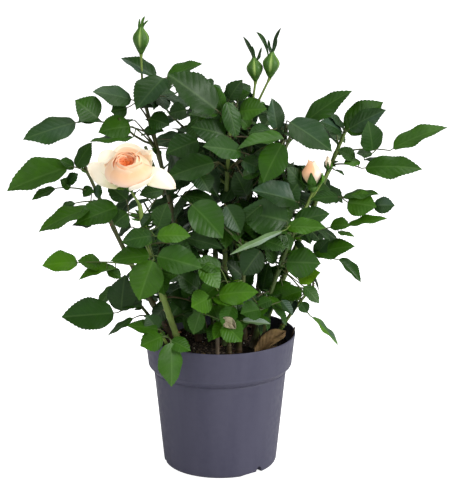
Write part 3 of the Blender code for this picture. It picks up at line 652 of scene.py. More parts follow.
@dataclass(frozen=True)
class StemFinish:
    """The skin of canes, twigs and stalks, from brown and woody to fresh green."""

    name: str = "cane_skin"
    skins: tuple[tuple[float, Colour], ...] = (
        (0.0, linear("3b2c1e")), (0.3, linear("4a4a28")), (0.6, linear("4d6a2a")), (1.0, linear("86a045")),
    )
    freckle: Colour = linear("5a3a2a")
    seam: Colour = linear("a9c46c")
    speckled: float = 1.0

    LENGTHWISE = (1.0, 1.0, 0.16)
    SHADOW = (0.7, 0.66, 0.6)
    STREAK_SCALE = 900.0
    STREAK_SHARE = 0.6
    MOTTLE = (160.0, 0.6)
    GRAIN = (2600.0, 0.5)
    ROUGHNESS = (0.42, 0.62)
    BUMP = (0.35 * MM, 0.7)

    def build(self, effects: Effects) -> bpy.types.Material:
        """Builds the material.

        Args:
            effects: The shared shader groups.

        Returns:
            The material.
        """
        tree = MaterialTree(self.name, effects)
        streaky = tree.add("ShaderNodeMapping", {"Vector": tree.place, "Scale": self.LENGTHWISE})
        green = tree.attribute("green")
        skin = tree.ramp(green, self.skins)
        streaks = tree.mottle(
            skin, self.freckle, self.STREAK_SCALE, (1.05 - green) * (self.STREAK_SHARE * self.speckled), streaky,
        )
        patch = tree.blend(1.0, streaks["Colour"], self.SHADOW, "MULTIPLY")
        mottled = tree.mottle(streaks["Colour"], patch, *self.MOTTLE)
        grain = tree.grain(*self.GRAIN, streaky)
        base = tree.blend(tree.attribute("seam"), mottled["Colour"], self.seam)
        return tree.finish(
            base_color=base, roughness=mottled["Patches"].between(*self.ROUGHNESS), normal=tree.bump(grain, *self.BUMP),
        )


@dataclass(frozen=True)
class PlasticFinish:
    """The pot's grey plastic: moulded, a little uneven, with soil dust and rubbed places."""

    name: str = "pot_plastic_grey"
    colour: Colour = linear("434255")
    rubbed: Colour = linear("5b5a6b")
    soiled: Colour = linear("6a6668")

    LENGTHWISE = (1.0, 1.0, 0.10)
    FLOW = (60.0, 0.22)
    SCUFFS = (210.0, 0.14)
    DUST = 0.3
    GRAIN = (1900.0, 0.35)
    ROUGHNESS = (0.44, 0.60)
    GLOSS = 0.3
    BUMP = (0.12 * MM, 0.6)

    def build(self, effects: Effects) -> bpy.types.Material:
        """Builds the material.

        Args:
            effects: The shared shader groups.

        Returns:
            The material.
        """
        tree = MaterialTree(self.name, effects)
        tall = tree.add("ShaderNodeMapping", {"Vector": tree.place, "Scale": self.LENGTHWISE})
        flow = tree.mottle(self.colour, self.rubbed, *self.FLOW, tall)
        scuffs = tree.mottle(flow["Colour"], self.rubbed, *self.SCUFFS)
        dusty = tree.effect(
            effects.dust, {"Place": tree.place, "Colour": scuffs["Colour"], "Dust": self.soiled, "Amount": self.DUST},
        )
        grain = tree.grain(*self.GRAIN)
        return tree.finish(
            base_color=dusty["Colour"], roughness=scuffs["Patches"].between(*self.ROUGHNESS),
            specular_ior_level=self.GLOSS, normal=tree.bump(grain, *self.BUMP),
        )


@dataclass(frozen=True)
class EarthFinish:
    """Peat, and the crumbs on it."""

    name: str
    colour: Colour
    patch: Colour
    roughness: float = 0.9
    scale: float = 420.0

    MOTTLE_SHARE = 0.8
    GRAIN = (1400.0, 0.5)
    SMOOTHER = 0.12
    GLOSS = 0.25
    BUMP = (0.9 * MM, 0.9)

    def build(self, effects: Effects) -> bpy.types.Material:
        """Builds the material.

        Args:
            effects: The shared shader groups.

        Returns:
            The material.
        """
        tree = MaterialTree(self.name, effects)
        mottled = tree.mottle(self.colour, self.patch, self.scale, self.MOTTLE_SHARE)
        grain = tree.grain(*self.GRAIN)
        return tree.finish(
            base_color=mottled["Colour"], roughness=grain.between(self.roughness - self.SMOOTHER, 1.0),
            specular_ior_level=self.GLOSS, normal=tree.bump(grain, *self.BUMP),
        )


@dataclass(frozen=True)
class PetalFinish:
    """Petals, from cream outside to deep apricot at the heart, with fine veins and a soft sheen."""

    name: str = "petal_apricot"
    blushes: tuple[tuple[float, Colour], ...] = even_ramp("fffdec", "fde8c8", "fac79a", "f9ab74", "f28a4a")
    pink: Colour = linear("f6dcd4")
    # The lime colour greens the petals' roots; far up the petal it is partly their own green base and partly painted
    # shade near the cup.
    lime: Colour = linear("e4e4a8")
    # rim is the colour of the pale rims, partly the petals' own and partly a painted highlight.
    rim: Colour = linear("fff3e2")

    SHADOW = (0.95, 0.9, 0.84)
    PAIRS = 16.0
    SLANT = -2.2
    ROOT_SHARE = 0.7
    RIM_SHARE = 0.6
    VEIN_SHARE = 0.25
    MOTTLE = (130.0, 0.4)
    GRAIN = (2400.0, 0.5)
    RELIEF = 0.3
    ROUGHNESS = (0.5, 0.66)
    GLOSS = 0.3
    SHEEN = 0.05
    # GLOW: the petals give off a little light in their own colour, a painted glow that lightens their shade as light
    # through a petal would.
    GLOW = 0.06
    BUMP = (0.2 * MM, 0.4)

    def build(self, effects: Effects) -> bpy.types.Material:
        """Builds the material.

        Args:
            effects: The shared shader groups.

        Returns:
            The material.
        """
        tree = MaterialTree(self.name, effects)
        along, across = tree.blade()
        blush = tree.ramp(tree.attribute("blush"), self.blushes)
        veins = tree.effect(effects.veins, {"Along": along, "Across": across, "Pairs": self.PAIRS, "Slant": self.SLANT})
        base = tree.blend(tree.attribute("pink"), blush, self.pink)
        # Greener from the root to past the middle: partly the petals' own green base, partly painted shade near the
        # cup.
        base = tree.blend((1.0 - along.step(0.0, 0.6)) * self.ROOT_SHARE, base, self.lime)
        # Paler towards the end of the paler petals: partly their own pale edges, partly a painted highlight on the
        # rims.
        base = tree.blend(along.step(0.8, 1.0) * (1.0 - tree.attribute("blush")) * self.RIM_SHARE, base, self.rim)
        shaded = tree.blend(1.0, base, self.SHADOW, "MULTIPLY")
        base = tree.blend(veins["Veins"] * self.VEIN_SHARE, base, shaded)
        mottled = tree.mottle(base, shaded, *self.MOTTLE)
        grain = tree.grain(*self.GRAIN)
        height = veins["Quilt"] * self.RELIEF + grain * self.RELIEF
        # The emission is that painted glow.
        return tree.finish(
            base_color=mottled["Colour"], roughness=mottled["Patches"].between(*self.ROUGHNESS),
            specular_ior_level=self.GLOSS, sheen_weight=self.SHEEN, emission_color=mottled["Colour"],
            emission_strength=self.GLOW, normal=tree.bump(height, *self.BUMP),
        )


@dataclass
class Palette:
    """Every finish as a material."""

    effects: Effects = field(default_factory=Effects)

    def __post_init__(self) -> None:
        """Builds the materials."""
        # Each leaf finish's grey is the colour of its painted grey sheen; the dried leaves' grey is that of their
        # darker blotches.
        upper = LeafFinish(
            "leaf_upper", even_ramp("1a3607", "264d08", "396509", "50840b", "78a319"), grey=linear("3a5243"),
            vein=linear("7f9f5c"), vein_share=0.12, roughness=(0.36, 0.5), quilt=0.3,
        )
        under = LeafFinish(
            "leaf_underside", even_ramp("3e5c3a", "547646", "86a65a"), grey=linear("8fa294"), vein=linear("a9bf8c"),
            vein_share=0.45, roughness=(0.6, 0.75), quilt=-0.35,
        )
        dead = LeafFinish(
            "leaf_dried", even_ramp("4a2f1c", "836a45", "aea388"), grey=linear("4c3926"), vein=linear("6b4a2c"),
            vein_share=0.5, roughness=(0.7, 0.9), quilt=0.6, gloss=0.2, patches=210.0,
        )
        self.leaf_upper = upper.build(self.effects)
        self.leaf_under = under.build(self.effects)
        self.leaf_dried = dead.build(self.effects)
        self.stem = StemFinish().build(self.effects)
        self.old_wood = StemFinish("old_wood", even_ramp("30261c", "7a6c58")).build(self.effects)
        self.bud = StemFinish(
            "bud_skin", even_ramp("203d08", "3a6808", "6d9a26"), linear("33521a"), speckled=0.5,
        ).build(self.effects)
        self.prickle = StemFinish("prickle_skin", even_ramp("6b4630", "a2704a"), linear("4a2a20")).build(self.effects)
        self.plastic = PlasticFinish().build(self.effects)
        self.peat = EarthFinish("peat", linear("1c1510"), linear("3c2e22")).build(self.effects)
        self.crumb = EarthFinish("peat_crumb", linear("2e261f"), linear("7a6e5f")).build(self.effects)
        self.straw = EarthFinish("peat_fibre", linear("7d6a4e"), linear("4b3a28")).build(self.effects)
        self.perlite = EarthFinish("perlite", linear("d8d4cb"), linear("a79f92"), 0.8, 700.0).build(self.effects)
        self.petal = PetalFinish().build(self.effects)

    def skins(self, sides: int, relief: float) -> dict[str, Any]:
        """The inputs for skinning stems of that many sides, with a relief that deep in mm."""
        return {"Sides": sides, "Relief": relief * MM, "Skin": self.stem, "Prickle": self.prickle}


# ---------------------------------------------------------------- meshes


def link(obj: bpy.types.Object) -> bpy.types.Object:
    """Puts an object into the scene."""
    bpy.context.scene.collection.objects.link(obj)
    return obj


def object_from(name: str, points: list, edges: list, faces: list) -> bpy.types.Object:
    """A mesh object at the origin, in the scene.

    Args:
        name: The object's name.
        points: Its points, in metres.
        edges: Pairs of point numbers.
        faces: Rows of point numbers.

    Returns:
        The object.
    """
    mesh = bpy.data.meshes.new(name)
    mesh.from_pydata([tuple(p) for p in points], edges, faces)
    mesh.update()
    return link(bpy.data.objects.new(name, mesh))


def store(mesh: bpy.types.Mesh, name: str, values: list, kind: str = "FLOAT") -> None:
    """Stores one value for each of a mesh's points.

    Args:
        mesh: The mesh.
        name: The attribute's name.
        values: A number or a vector for each point.
        kind: FLOAT or FLOAT_VECTOR.
    """
    layer = mesh.attributes.new(name, kind, "POINT")
    if kind == "FLOAT_VECTOR":
        layer.data.foreach_set("vector", [c for value in values for c in value])
    else:
        layer.data.foreach_set("value", values)


def flattened(obj: bpy.types.Object) -> bpy.types.Object:
    """Turns an object with modifiers into its plain result.

    Args:
        obj: The object.

    Returns:
        The same object.
    """
    graph = bpy.context.evaluated_depsgraph_get()
    result = bpy.data.meshes.new_from_object(obj.evaluated_get(graph), preserve_all_data_layers=True, depsgraph=graph)
    obj.modifiers.clear()
    old = obj.data
    obj.data = result
    result.name = obj.name
    bpy.data.meshes.remove(old)
    return obj


def grown(obj: bpy.types.Object, tree: bpy.types.NodeTree, values: dict[str, Any]) -> bpy.types.Object:
    """Runs a geometry tree on an object and keeps the plain result.

    Args:
        obj: The object whose mesh the tree starts from.
        tree: The geometry tree.
        values: The tree's inputs, by name.

    Returns:
        The same object, with the result as its mesh.
    """
    modifier = obj.modifiers.new("grown", "NODES")
    modifier.node_group = tree
    for item in tree.interface.items_tree:
        if item.in_out == "INPUT" and item.name in values:
            modifier[item.identifier] = values[item.name]
    return flattened(obj)


def place(obj: bpy.types.Object, slot: str, *nodes: str) -> None:
    """Hands a finished piece to the frame.

    Args:
        obj: The piece.
        slot: The record's material slot; not used.
        nodes: The solids that it stands for.
    """
    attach(obj, BODY)
    if nodes:
        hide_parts(*nodes)
    LOG.info("%s: %d faces", obj.name, len(obj.data.polygons))


@dataclass
class Sheets:
    """Thin curved sheets, such as petals and sepals, gathered into one mesh."""

    thickness: float
    points: list[Vector] = field(default_factory=list)
    faces: list[tuple] = field(default_factory=list)
    marks: list[tuple[float, float]] = field(default_factory=list)
    values: dict[str, list[float]] = field(default_factory=dict)

    def add(self, grid: list[list[Vector]], marks: list[list[tuple]], **values: Any) -> None:
        """Adds a sheet.

        Args:
            grid: Rows of points, from the sheet's root to its end.
            marks: How far along and across (0 to 1) each point is.
            values: A number for the whole sheet, or rows of numbers, by attribute name.
        """
        start, columns = len(self.points), len(grid[0])
        for row, mark_row in zip(grid, marks):
            self.points += row
            self.marks += mark_row
        for name, value in values.items():
            flat = [v for r in value for v in r] if isinstance(value, list) else [value] * len(grid) * columns
            self.values.setdefault(name, []).extend(flat)
        for r in range(len(grid) - 1):
            for c in range(columns - 1):
                a = start + r * columns + c
                self.faces.append((a, a + 1, a + columns + 1, a + columns))

    def petal(self, sheet: tuple[list, list], tint: float, pink: float) -> None:
        """Adds a petal, pinker at its root and deeper in colour to its end.

        Args:
            sheet: Its rows of points and of (along, across).
            tint: How deep its colour is.
            pink: How pink its root is.
        """
        grid, marks = sheet
        blushes = [[min(tint + 0.12 * ease(u, 0.2, 0.8) - 0.04, 1.0) for u, _ in row] for row in marks]
        pinks = [[pink * (1 - ease(u, 0.3, 0.8)) for u, _ in row] for row in marks]
        self.add(grid, marks, blush=blushes, pink=pinks)

    def build(self, name: str, *materials: bpy.types.Material) -> bpy.types.Object:
        """Makes the sheets one object with a thickness.

        Args:
            name: The object's name.
            materials: The sheets' materials.

        Returns:
            The object.
        """
        obj = object_from(name, self.points, [], self.faces)
        mesh = obj.data
        layer = mesh.uv_layers.new(name="blade")
        for loop in mesh.loops:
            along, across = self.marks[loop.vertex_index]
            layer.data[loop.index].uv = (across, along)
        for key, values in self.values.items():
            store(mesh, key, values)
        for surface in materials:
            mesh.materials.append(surface)
        mesh.shade_smooth()
        solid = obj.modifiers.new("thickness", "SOLIDIFY")
        solid.thickness = self.thickness
        solid.offset = 0.0
        solid.use_rim = True
        solid.use_quality_normals = True
        return flattened(obj)


def lathe(profile: list[tuple[float, float]], sides: int) -> tuple[list, list]:
    """The points and faces of a solid turned about Z, whose profile starts and ends on the axis.

    Args:
        profile: Pairs of (radius, height).
        sides: How many sides it has.

    Returns:
        The points and the faces.
    """
    points = [Vector((0, 0, profile[0][1]))]
    for radius, height in profile[1:-1]:
        for side in range(sides):
            angle = 2 * math.pi * side / sides
            points.append(Vector((radius * math.cos(angle), radius * math.sin(angle), height)))
    points.append(Vector((0, 0, profile[-1][1])))
    rings, last, faces = len(profile) - 2, len(points) - 1, []
    for side in range(sides):
        after = (side + 1) % sides
        faces.append((0, 1 + after, 1 + side))
        for ring in range(rings - 1):
            low, high = 1 + ring * sides, 1 + (ring + 1) * sides
            faces.append((low + side, low + after, high + after, high + side))
        top = 1 + (rings - 1) * sides
        faces.append((top + side, top + after, last))
    return points, faces


# ---------------------------------------------------------------- leaflet blades and geometry trees


@dataclass(frozen=True)
class BladeShape:
    """A leaflet's own mesh in shares of its length and width: serrated, with an upper and a lower skin."""

    rows: int
    teeth: int
    tooth: float
    root_round: float = 0.55
    tip_point: float = 1.0

    WIDEST = 0.86
    TOOTH_LEAN = 0.72
    INNER_LINE = 0.52
    MIDRIB_DEPTH = 2.2

    def half(self, along: float) -> float:
        """Half the blade's width at a share of its length."""
        power = self.root_round + (self.tip_point - self.root_round) * along
        return 0.5 * max(math.sin(math.pi * along**self.WIDEST), 0.0) ** power

    def build(self, name: str) -> bpy.types.Object:
        """Builds the blade, whose points hold along, across and skin.

        Args:
            name: The object's name.

        Returns:
            The blade's object.
        """
        spots: list[tuple[float, float, float]] = []

        def spot(along: float, across: float, skin: float) -> int:
            """Adds a point and gives its number."""
            spots.append((along, across, skin))
            return len(spots) - 1

        root, tip = spot(0, 0, 0), spot(1, 0, 0)
        rims = {}
        for hand in (1, -1):
            line = [root]
            count = self.rows * self.teeth
            for k in range(count):
                if k:
                    line.append(spot(k / count, hand * self.half(k / count), 0))
                peak = (k + self.TOOTH_LEAN) / count
                reach = self.half((k + 0.5) / count) * (1 + self.tooth)
                if k < count - 1:
                    line.append(spot(peak, hand * reach, 0))
            line.append(tip)
            rims[hand] = line
        faces, unders = [], []
        for skin in (1, -1):
            middles = [root]
            for k in range(1, self.rows):
                depth = skin if skin > 0 else -1 - self.MIDRIB_DEPTH * (1 - k / self.rows)
                middles.append(spot(k / self.rows, 0, depth))
            middles.append(tip)
            for hand in (1, -1):
                inner = [root]
                for k in range(1, self.rows):
                    inner.append(spot(k / self.rows, hand * self.half(k / self.rows) * self.INNER_LINE, skin))
                inner.append(tip)
                rim = rims[hand]
                for k in range(self.rows):
                    low, last = 2 * self.teeth * k, len(rim) - 1
                    teeth = [rim[min(low + step, last)] for step in range(2 * self.teeth + 1)]
                    loops = [[middles[k], middles[k + 1], inner[k + 1], inner[k]], [inner[k], inner[k + 1], teeth[2]]]
                    for step in range(self.teeth):
                        loops.append([inner[k + (step > 0)], *reversed(teeth[2 * step : 2 * step + 3])])
                    for loop in loops:
                        clean = [p for i, p in enumerate(loop) if p != loop[i - 1]]
                        if len(clean) > 2:
                            faces.append(clean if hand * skin > 0 else [clean[0], *clean[:0:-1]])
                            unders.append(skin < 0)
        obj = object_from(name, [(a, c, 0) for a, c, _ in spots], [], faces)
        mesh = obj.data
        for index, key in enumerate(("along", "across", "skin")):
            store(mesh, key, [s[index] for s in spots])
        layer = mesh.uv_layers.new(name="blade")
        for loop in mesh.loops:
            along, across, _ = spots[loop.vertex_index]
            layer.data[loop.index].uv = (across + 0.5, along)
        under = mesh.attributes.new("under", "BOOLEAN", "FACE")
        under.data.foreach_set("value", unders)
        on_rim = {i for i, s in enumerate(spots) if s[2] == 0}
        for edge in mesh.edges:
            edge.use_edge_sharp = set(edge.vertices) <= on_rim
        mesh.shade_smooth()
        return obj


class GrowingTrees:
    """The geometry trees, each built once, with named inputs."""

    WAVES_ALONG = 13.0
    WAVE_HEIGHT = 4.0
    QUILT_RIBS = 12.0
    QUILT_SLANT = 0.5
    QUILT_HEIGHT = 16.0
    PRICKLE_TILT_DEG = 96
    PRICKLE_FOOT = 0.22
    SHORTEST_PRICKLE = 0.4

    def __init__(self) -> None:
        """Builds the trees and the blades that they spread."""
        self.large_blade = BladeShape(8, 2, 0.045).build("large_blade")
        self.small_blade = BladeShape(4, 2, 0.06).build("small_blade")
        self.leaves = self._leaves()
        self.stems = self._stems()
        self.scatter = self._scatter()

    def clear(self) -> None:
        """Removes the blades once everything is grown."""
        for blade in (self.large_blade, self.small_blade):
            bpy.data.objects.remove(blade)

    def _leaves(self) -> bpy.types.NodeTree:
        """Puts a blade on every point and bends it by the values that the point holds.

        Returns:
            The geometry group.
        """
        tree = Tree.group(
            "spread_leaflets", "GeometryNodeTree",
            {
                "Geometry": ("Geometry", None), "Large Blade": ("Object", None), "Small Blade": ("Object", None),
                "Skin Thickness": ("Float", 0.16 * MM), "Quilting": ("Float", 0.0011), "Ripple": ("Float", 0.03),
                "Upper": ("Material", None), "Underside": ("Material", None),
            },
            {"Geometry": "Geometry"},
        )

        held = tree.held
        is_large = held("large").reckon("GREATER_THAN", 0.5)
        spread = []
        for label, chosen in (("Large Blade", is_large), ("Small Blade", 1.0 - is_large)):
            blade = tree.add("GeometryNodeObjectInfo", {"Object": tree.input(label)}, out="Geometry")
            inputs = {"Points": tree.input("Geometry"), "Selection": chosen, "Instance": blade}
            spread.append(tree.add("GeometryNodeInstanceOnPoints", inputs))
        joined = tree.node("GeometryNodeJoinGeometry")
        for instances in spread:
            tree.plug(joined.inputs[0], instances)
        real = tree.add("GeometryNodeRealizeInstances", {0: Wire(tree, joined.outputs[0])})

        along, across = held("along"), held("across")
        length, width = held("length"), held("width")
        way, face = held("way", "FLOAT_VECTOR"), held("face", "FLOAT_VECTOR")
        side = face.cross(way)
        off = across.size()
        rise = off * held("fold") - along * along * held("arch")
        rise = rise - off * off * held("curl")
        waves = (along * self.WAVES_ALONG + held("phase")).sine() * off * off * self.WAVE_HEIGHT * tree.input("Ripple")
        ribs = ((along - off * self.QUILT_SLANT) * (math.pi * self.QUILT_RIBS)).sine()
        quilts = ribs * off * (0.5 - off) * self.QUILT_HEIGHT
        rise = rise + waves + quilts * tree.input("Quilting") * held("quilt")
        lift = rise * length + held("skin") * tree.input("Skin Thickness")
        lift = lift + across * width * along * held("twist")
        shift = width * across + length * along * along * held("sway")
        spot = held("root", "FLOAT_VECTOR") + way * (length * along) + side * shift + face * lift
        moved = tree.add("GeometryNodeSetPosition", {"Geometry": real, "Position": spot})
        upper = tree.dressed(moved, "Upper")
        tree.output("Geometry", tree.dressed(upper, "Underside", held("under", "BOOLEAN")))
        return tree.nodes

    def _stems(self) -> bpy.types.NodeTree:
        """Skins lines of points with round stems, roughens them, and sets prickles on them.

        Returns:
            The geometry group.
        """
        tree = Tree.group(
            "skin_stems", "GeometryNodeTree",
            {
                "Geometry": ("Geometry", None), "Sides": ("Int", 8), "Relief": ("Float", 0.1 * MM),
                "Relief Scale": ("Float", 420.0), "Prickle Spacing": ("Float", 9.0 * MM),
                "Prickle Length": ("Float", 0.0), "Seed": ("Int", 3), "Skin": ("Material", None),
                "Prickle": ("Material", None),
            },
            {"Geometry": "Geometry"},
        )
        radius = tree.held("radius")
        curve = tree.add("GeometryNodeMeshToCurve", {0: tree.input("Geometry")})
        ring = tree.add("GeometryNodeCurvePrimitiveCircle", {"Resolution": tree.input("Sides"), "Radius": 1.0})
        inputs = {"Curve": curve, "Profile Curve": ring, "Scale": radius, "Fill Caps": True}
        skin = tree.add("GeometryNodeCurveToMesh", inputs)
        normal = tree.add("GeometryNodeInputNormal")
        bumps = tree.noise(tree.input("Relief Scale"), 2.0, tree.add("GeometryNodeInputPosition")) - 0.5
        rough = tree.add(
            "GeometryNodeSetPosition", {"Geometry": skin, "Offset": normal * (bumps * tree.input("Relief"))},
        )
        smooth = tree.add("GeometryNodeSetShadeSmooth", {"Geometry": rough})
        skinned = tree.dressed(smooth, "Skin")

        marks = tree.node(
            "GeometryNodeCurveToPoints", {"Curve": curve, "Length": tree.input("Prickle Spacing")}, mode="LENGTH",
        )
        turn = tree.chance((0.0, 0.0, 0.0), (0.0, 0.0, 2 * math.pi), tree.input("Seed"))
        tilt = tree.add("FunctionNodeEulerToRotation", {0: (0.0, math.radians(self.PRICKLE_TILT_DEG), 0.0)})
        turned = tree.add("FunctionNodeRotateRotation", {0: turn, 1: tilt}, rotation_space="LOCAL")
        facing = tree.add(
            "FunctionNodeRotateRotation", {0: Wire(tree, marks.outputs["Rotation"]), 1: turned}, rotation_space="LOCAL",
        )
        size = tree.add(
            "FunctionNodeRandomValue", {2: 0.0, 3: 1.0, "Seed": tree.input("Seed")}, out=1, data_type="FLOAT",
        )
        cone = tree.add(
            "GeometryNodeMeshCone",
            {"Vertices": 5, "Side Segments": 2, "Radius Top": 0.0, "Radius Bottom": self.PRICKLE_FOOT, "Depth": 1.0},
        )
        least = self.SHORTEST_PRICKLE
        reach = (size.step(0.2, 1.0) * (1 - least) + least) * tree.input("Prickle Length") + radius
        spikes = tree.add(
            "GeometryNodeInstanceOnPoints",
            {"Points": Wire(tree, marks.outputs["Points"]), "Instance": cone, "Rotation": facing, "Scale": reach},
        )
        real = tree.add("GeometryNodeRealizeInstances", {0: spikes})
        spiky = tree.dressed(real, "Prickle")
        kept = tree.add(
            "GeometryNodeSwitch", {"Switch": tree.input("Prickle Length").reckon("GREATER_THAN", 0.0), "True": spiky},
            input_type="GEOMETRY",
        )
        joined = tree.node("GeometryNodeJoinGeometry", {0: kept})
        tree.plug(joined.inputs[0], skinned)
        tree.output("Geometry", Wire(tree, joined.outputs[0]))
        return tree.nodes

    def _scatter(self) -> bpy.types.NodeTree:
        """Roughens a bed of peat and scatters crumbs and perlite over it.

        Returns:
            The geometry group.
        """
        tree = Tree.group(
            "strew_crumbs", "GeometryNodeTree",
            {
                "Geometry": ("Geometry", None), "Relief": ("Float", 5.0 * MM), "Crumbs": ("Float", 90000.0),
                "Crumb Size": ("Float", 1.1 * MM), "Perlite": ("Float", 5000.0), "Perlite Size": ("Float", 1.1 * MM),
                "Fibres": ("Float", 30000.0), "Fibre Size": ("Float", 1.3 * MM), "Seed": ("Int", 5),
                "Bed": ("Material", None), "Crumb": ("Material", None), "White": ("Material", None),
                "Straw": ("Material", None),
            },
            {"Geometry": "Geometry"},
        )
        spot = tree.add("GeometryNodeInputPosition")
        loose = tree.held("loose")
        hills = (tree.noise(55.0, 4.0, spot, 0.62) - 0.5) * tree.input("Relief") * loose
        lift = tree.add("ShaderNodeCombineXYZ", {"Z": hills})
        bed = tree.add("GeometryNodeSetPosition", {"Geometry": tree.input("Geometry"), "Offset": lift})
        bed = tree.dressed(bed, "Bed")
        strewn = loose.step(0.55, 1.0)
        joined = tree.node("GeometryNodeJoinGeometry", {0: bed})
        kinds = (
            ("Crumbs", "Crumb Size", "Crumb", 0, (0.35, 0.35, 0.25), (1.3, 0.9, 0.7)),
            ("Perlite", "Perlite Size", "White", 9, (0.5, 0.5, 0.4), (1.1, 0.9, 0.8)),
            ("Fibres", "Fibre Size", "Straw", 17, (0.12, 0.12, 0.8), (0.35, 0.3, 2.2)),
        )
        for density, size, surface, shift, least, most in kinds:
            seed = tree.input("Seed") + float(shift)
            points = tree.add(
                "GeometryNodeDistributePointsOnFaces",
                {
                    "Mesh": bed, "Selection": loose.reckon("GREATER_THAN", 0.5),
                    "Density": tree.input(density) * strewn, "Seed": seed,
                },
            )
            lump = tree.add("GeometryNodeMeshIcoSphere", {"Radius": 1.0, "Subdivisions": 1})
            turn = tree.chance((0.0, 0.0, 0.0), (6.28, 6.28, 6.28), seed)
            stretch = tree.chance(least, most, seed + 2.0)
            lumps = tree.add(
                "GeometryNodeInstanceOnPoints",
                {"Points": points, "Instance": lump, "Rotation": turn, "Scale": stretch * tree.input(size)},
            )
            real = tree.add("GeometryNodeRealizeInstances", {0: lumps})
            tree.plug(joined.inputs[0], tree.dressed(real, surface))
        tree.output("Geometry", Wire(tree, joined.outputs[0]))
        return tree.nodes


# ---------------------------------------------------------------- the plant's own sizes


class Tone(Enum):
    """The colours that a spray's leaflets can have, as (green from dark to young, greyness), where greyness is how much
    painted grey sheen they get.
    """

    DARK = (0.08, 0.06)
    DEEP = (0.22, 0.06)
    MID = (0.38, 0.05)
    FRESH = (0.52, 0.0)
    BRIGHT = (0.66, 0.0)
    YOUNG = (0.90, 0.0)
    GREY = (0.12, 0.75)
    DULL = (0.16, 0.34)
    PALE = (0.75, 0.95)


@dataclass(frozen=True)
class Leaflet:
    """One blade, in metres, with its upper side along face."""

    base: Vector
    way: Vector
    face: Vector
    length: float
    width: float

    def at(self, along: float, across: float) -> Vector:
        """A point of the blade, folded along its midrib and arched down to its tip.

        Args:
            along: A share of its length.
            across: A share of its width, from -0.5 to 0.5.

        Returns:
            The point.
        """
        drop = LEAF_ARCH * along * along - LEAF_FOLD * abs(across)
        side = self.face.cross(self.way)
        on_way = self.way * self.length * along
        return self.base + on_way + side * self.width * across - self.face * self.length * drop

    def outline(self) -> list[tuple[float, float]]:
        """Its outline as it is seen from the front."""
        marks = ((0, 0), (0.3, 0.45), (0.7, 0.36), (1, 0), (0.7, -0.36), (0.3, -0.45))
        return [seen(self.at(*mark)) for mark in marks]

    def plate(self, thickness: float) -> tuple[list, list]:
        """The blade as a rough closed solid, for tests of room.

        Args:
            thickness: Its thickness at its middle.

        Returns:
            The points and the faces.
        """
        right = [self.at(along, -half) for along, half in LEAF_CORNERS]
        left = [self.at(along, half) for along, half in reversed(LEAF_CORNERS)]
        outline = [self.base, *right, self.at(1, 0), *left]
        lift = self.face * thickness / 2
        middle = self.at(LEAF_MIDDLE, 0)
        faces = []
        for i in range(len(outline)):
            after = (i + 1) % len(outline)
            faces += [(i, after, len(outline)), (after, i, len(outline) + 1)]
        return [*outline, middle + lift, middle - lift], faces


@dataclass
class Growth:
    """A compound leaf as grown: its stalk's start, knee and end, and its leaflets, the end one first."""

    stalk: tuple[Vector, Vector, Vector]
    leaflets: list[Leaflet]
    tones: list[Tone] = field(default_factory=list)


@dataclass(frozen=True)
class Cane:
    """A cane or shoot: a bow from its foot on the soil, past a knee, to its tip, in mm.

    green is its skin's colour, from woody brown (0) to fresh green (1).
    """

    name: str
    foot: tuple[float, float]
    tip: tuple[float, float, float]
    knee: tuple[float, float]
    radii: tuple[float, float]
    leafy_from: float
    fill: int = 0
    twigs: int = 0
    reach: float = 76
    green: float = 0.6
    tones: tuple[Tone, ...] = (Tone.DARK, Tone.DEEP, Tone.DULL, Tone.MID)

    def frame(self) -> tuple[Vector, Vector, Vector]:
        """The bow's three control points, in metres.

        Returns:
            The foot, the knee and the tip.
        """
        foot = Vector((*self.foot, 0)) * MM + UP * (SOIL_LEVEL + CLEARANCE)
        tip = Vector(self.tip) * MM
        along, up = self.knee
        reach = tip - foot
        knee = foot + Vector((reach.x * along, reach.y * along, reach.z * up))
        return foot, knee, tip

    def point(self, share: float) -> Vector:
        """The point at a share of the way from foot to tip."""
        return bow(*self.frame(), share)

    def share(self, height: float) -> float:
        """How far along the cane a height in metres is.

        Args:
            height: The height.

        Returns:
            The share of the way from foot to tip.
        """
        low, high = 0.0, 1.0
        for _ in range(30):
            middle = (low + high) / 2
            if self.point(middle).z < height:
                low = middle
            else:
                high = middle
        return (low + high) / 2

    def radius(self, share: float) -> float:
        """The cane's radius at a share of its way, in metres."""
        return (self.radii[0] + (self.radii[1] - self.radii[0]) * share) * MM


@dataclass(frozen=True)
class Blade:
    """A listed leaflet, in mm: its base, its tip, its width and its roll off the front in degrees."""

    base: tuple[float, float, float]
    tip: tuple[float, float, float]
    width: float
    roll: float
    tone: Tone

    def leaflet(self) -> Leaflet:
        """The leaflet, which is raised by as much as its arch lowers its tip.

        Returns:
            The leaflet.
        """
        base, tip = Vector(self.base) * MM, Vector(self.tip) * MM
        way, roll = (tip - base).normalized(), math.radians(self.roll)
        flat = unit_across(way, OUTLOOK)
        side = way.cross(flat)
        face = flat * math.cos(roll) + side * math.copysign(math.sin(roll), side.z * math.sin(roll))
        raised = tip + face * (tip - base).length * LEAF_ARCH - base
        way = raised.normalized()
        return Leaflet(base, way, unit_across(way, face), raised.length, self.width * MM)


@dataclass(frozen=True)
class Spray:
    """A listed compound leaf: its cane, the height in mm at which it leaves it, and its blades."""

    cane: str
    height: float
    blades: tuple[Blade, ...]


def spray(cane: str, height: float, *rows: tuple) -> Spray:
    """A spray from its cane, its height and the row of values of each blade."""
    return Spray(cane, height, tuple(Blade(*row) for row in rows))


class Outline(Enum):
    """The outlines of sheets, as the (start, end, power, skew) of the sine that gives their width."""

    PETAL = (0.14, 0.86, 0.5, 1.0)
    POINTED = (0.16, 1.0, 0.55, 0.95)
    SEPAL = (0.05, 1.0, 0.9, 1.7)
    DRIED = (0.05, 1.0, 0.7, 0.8)


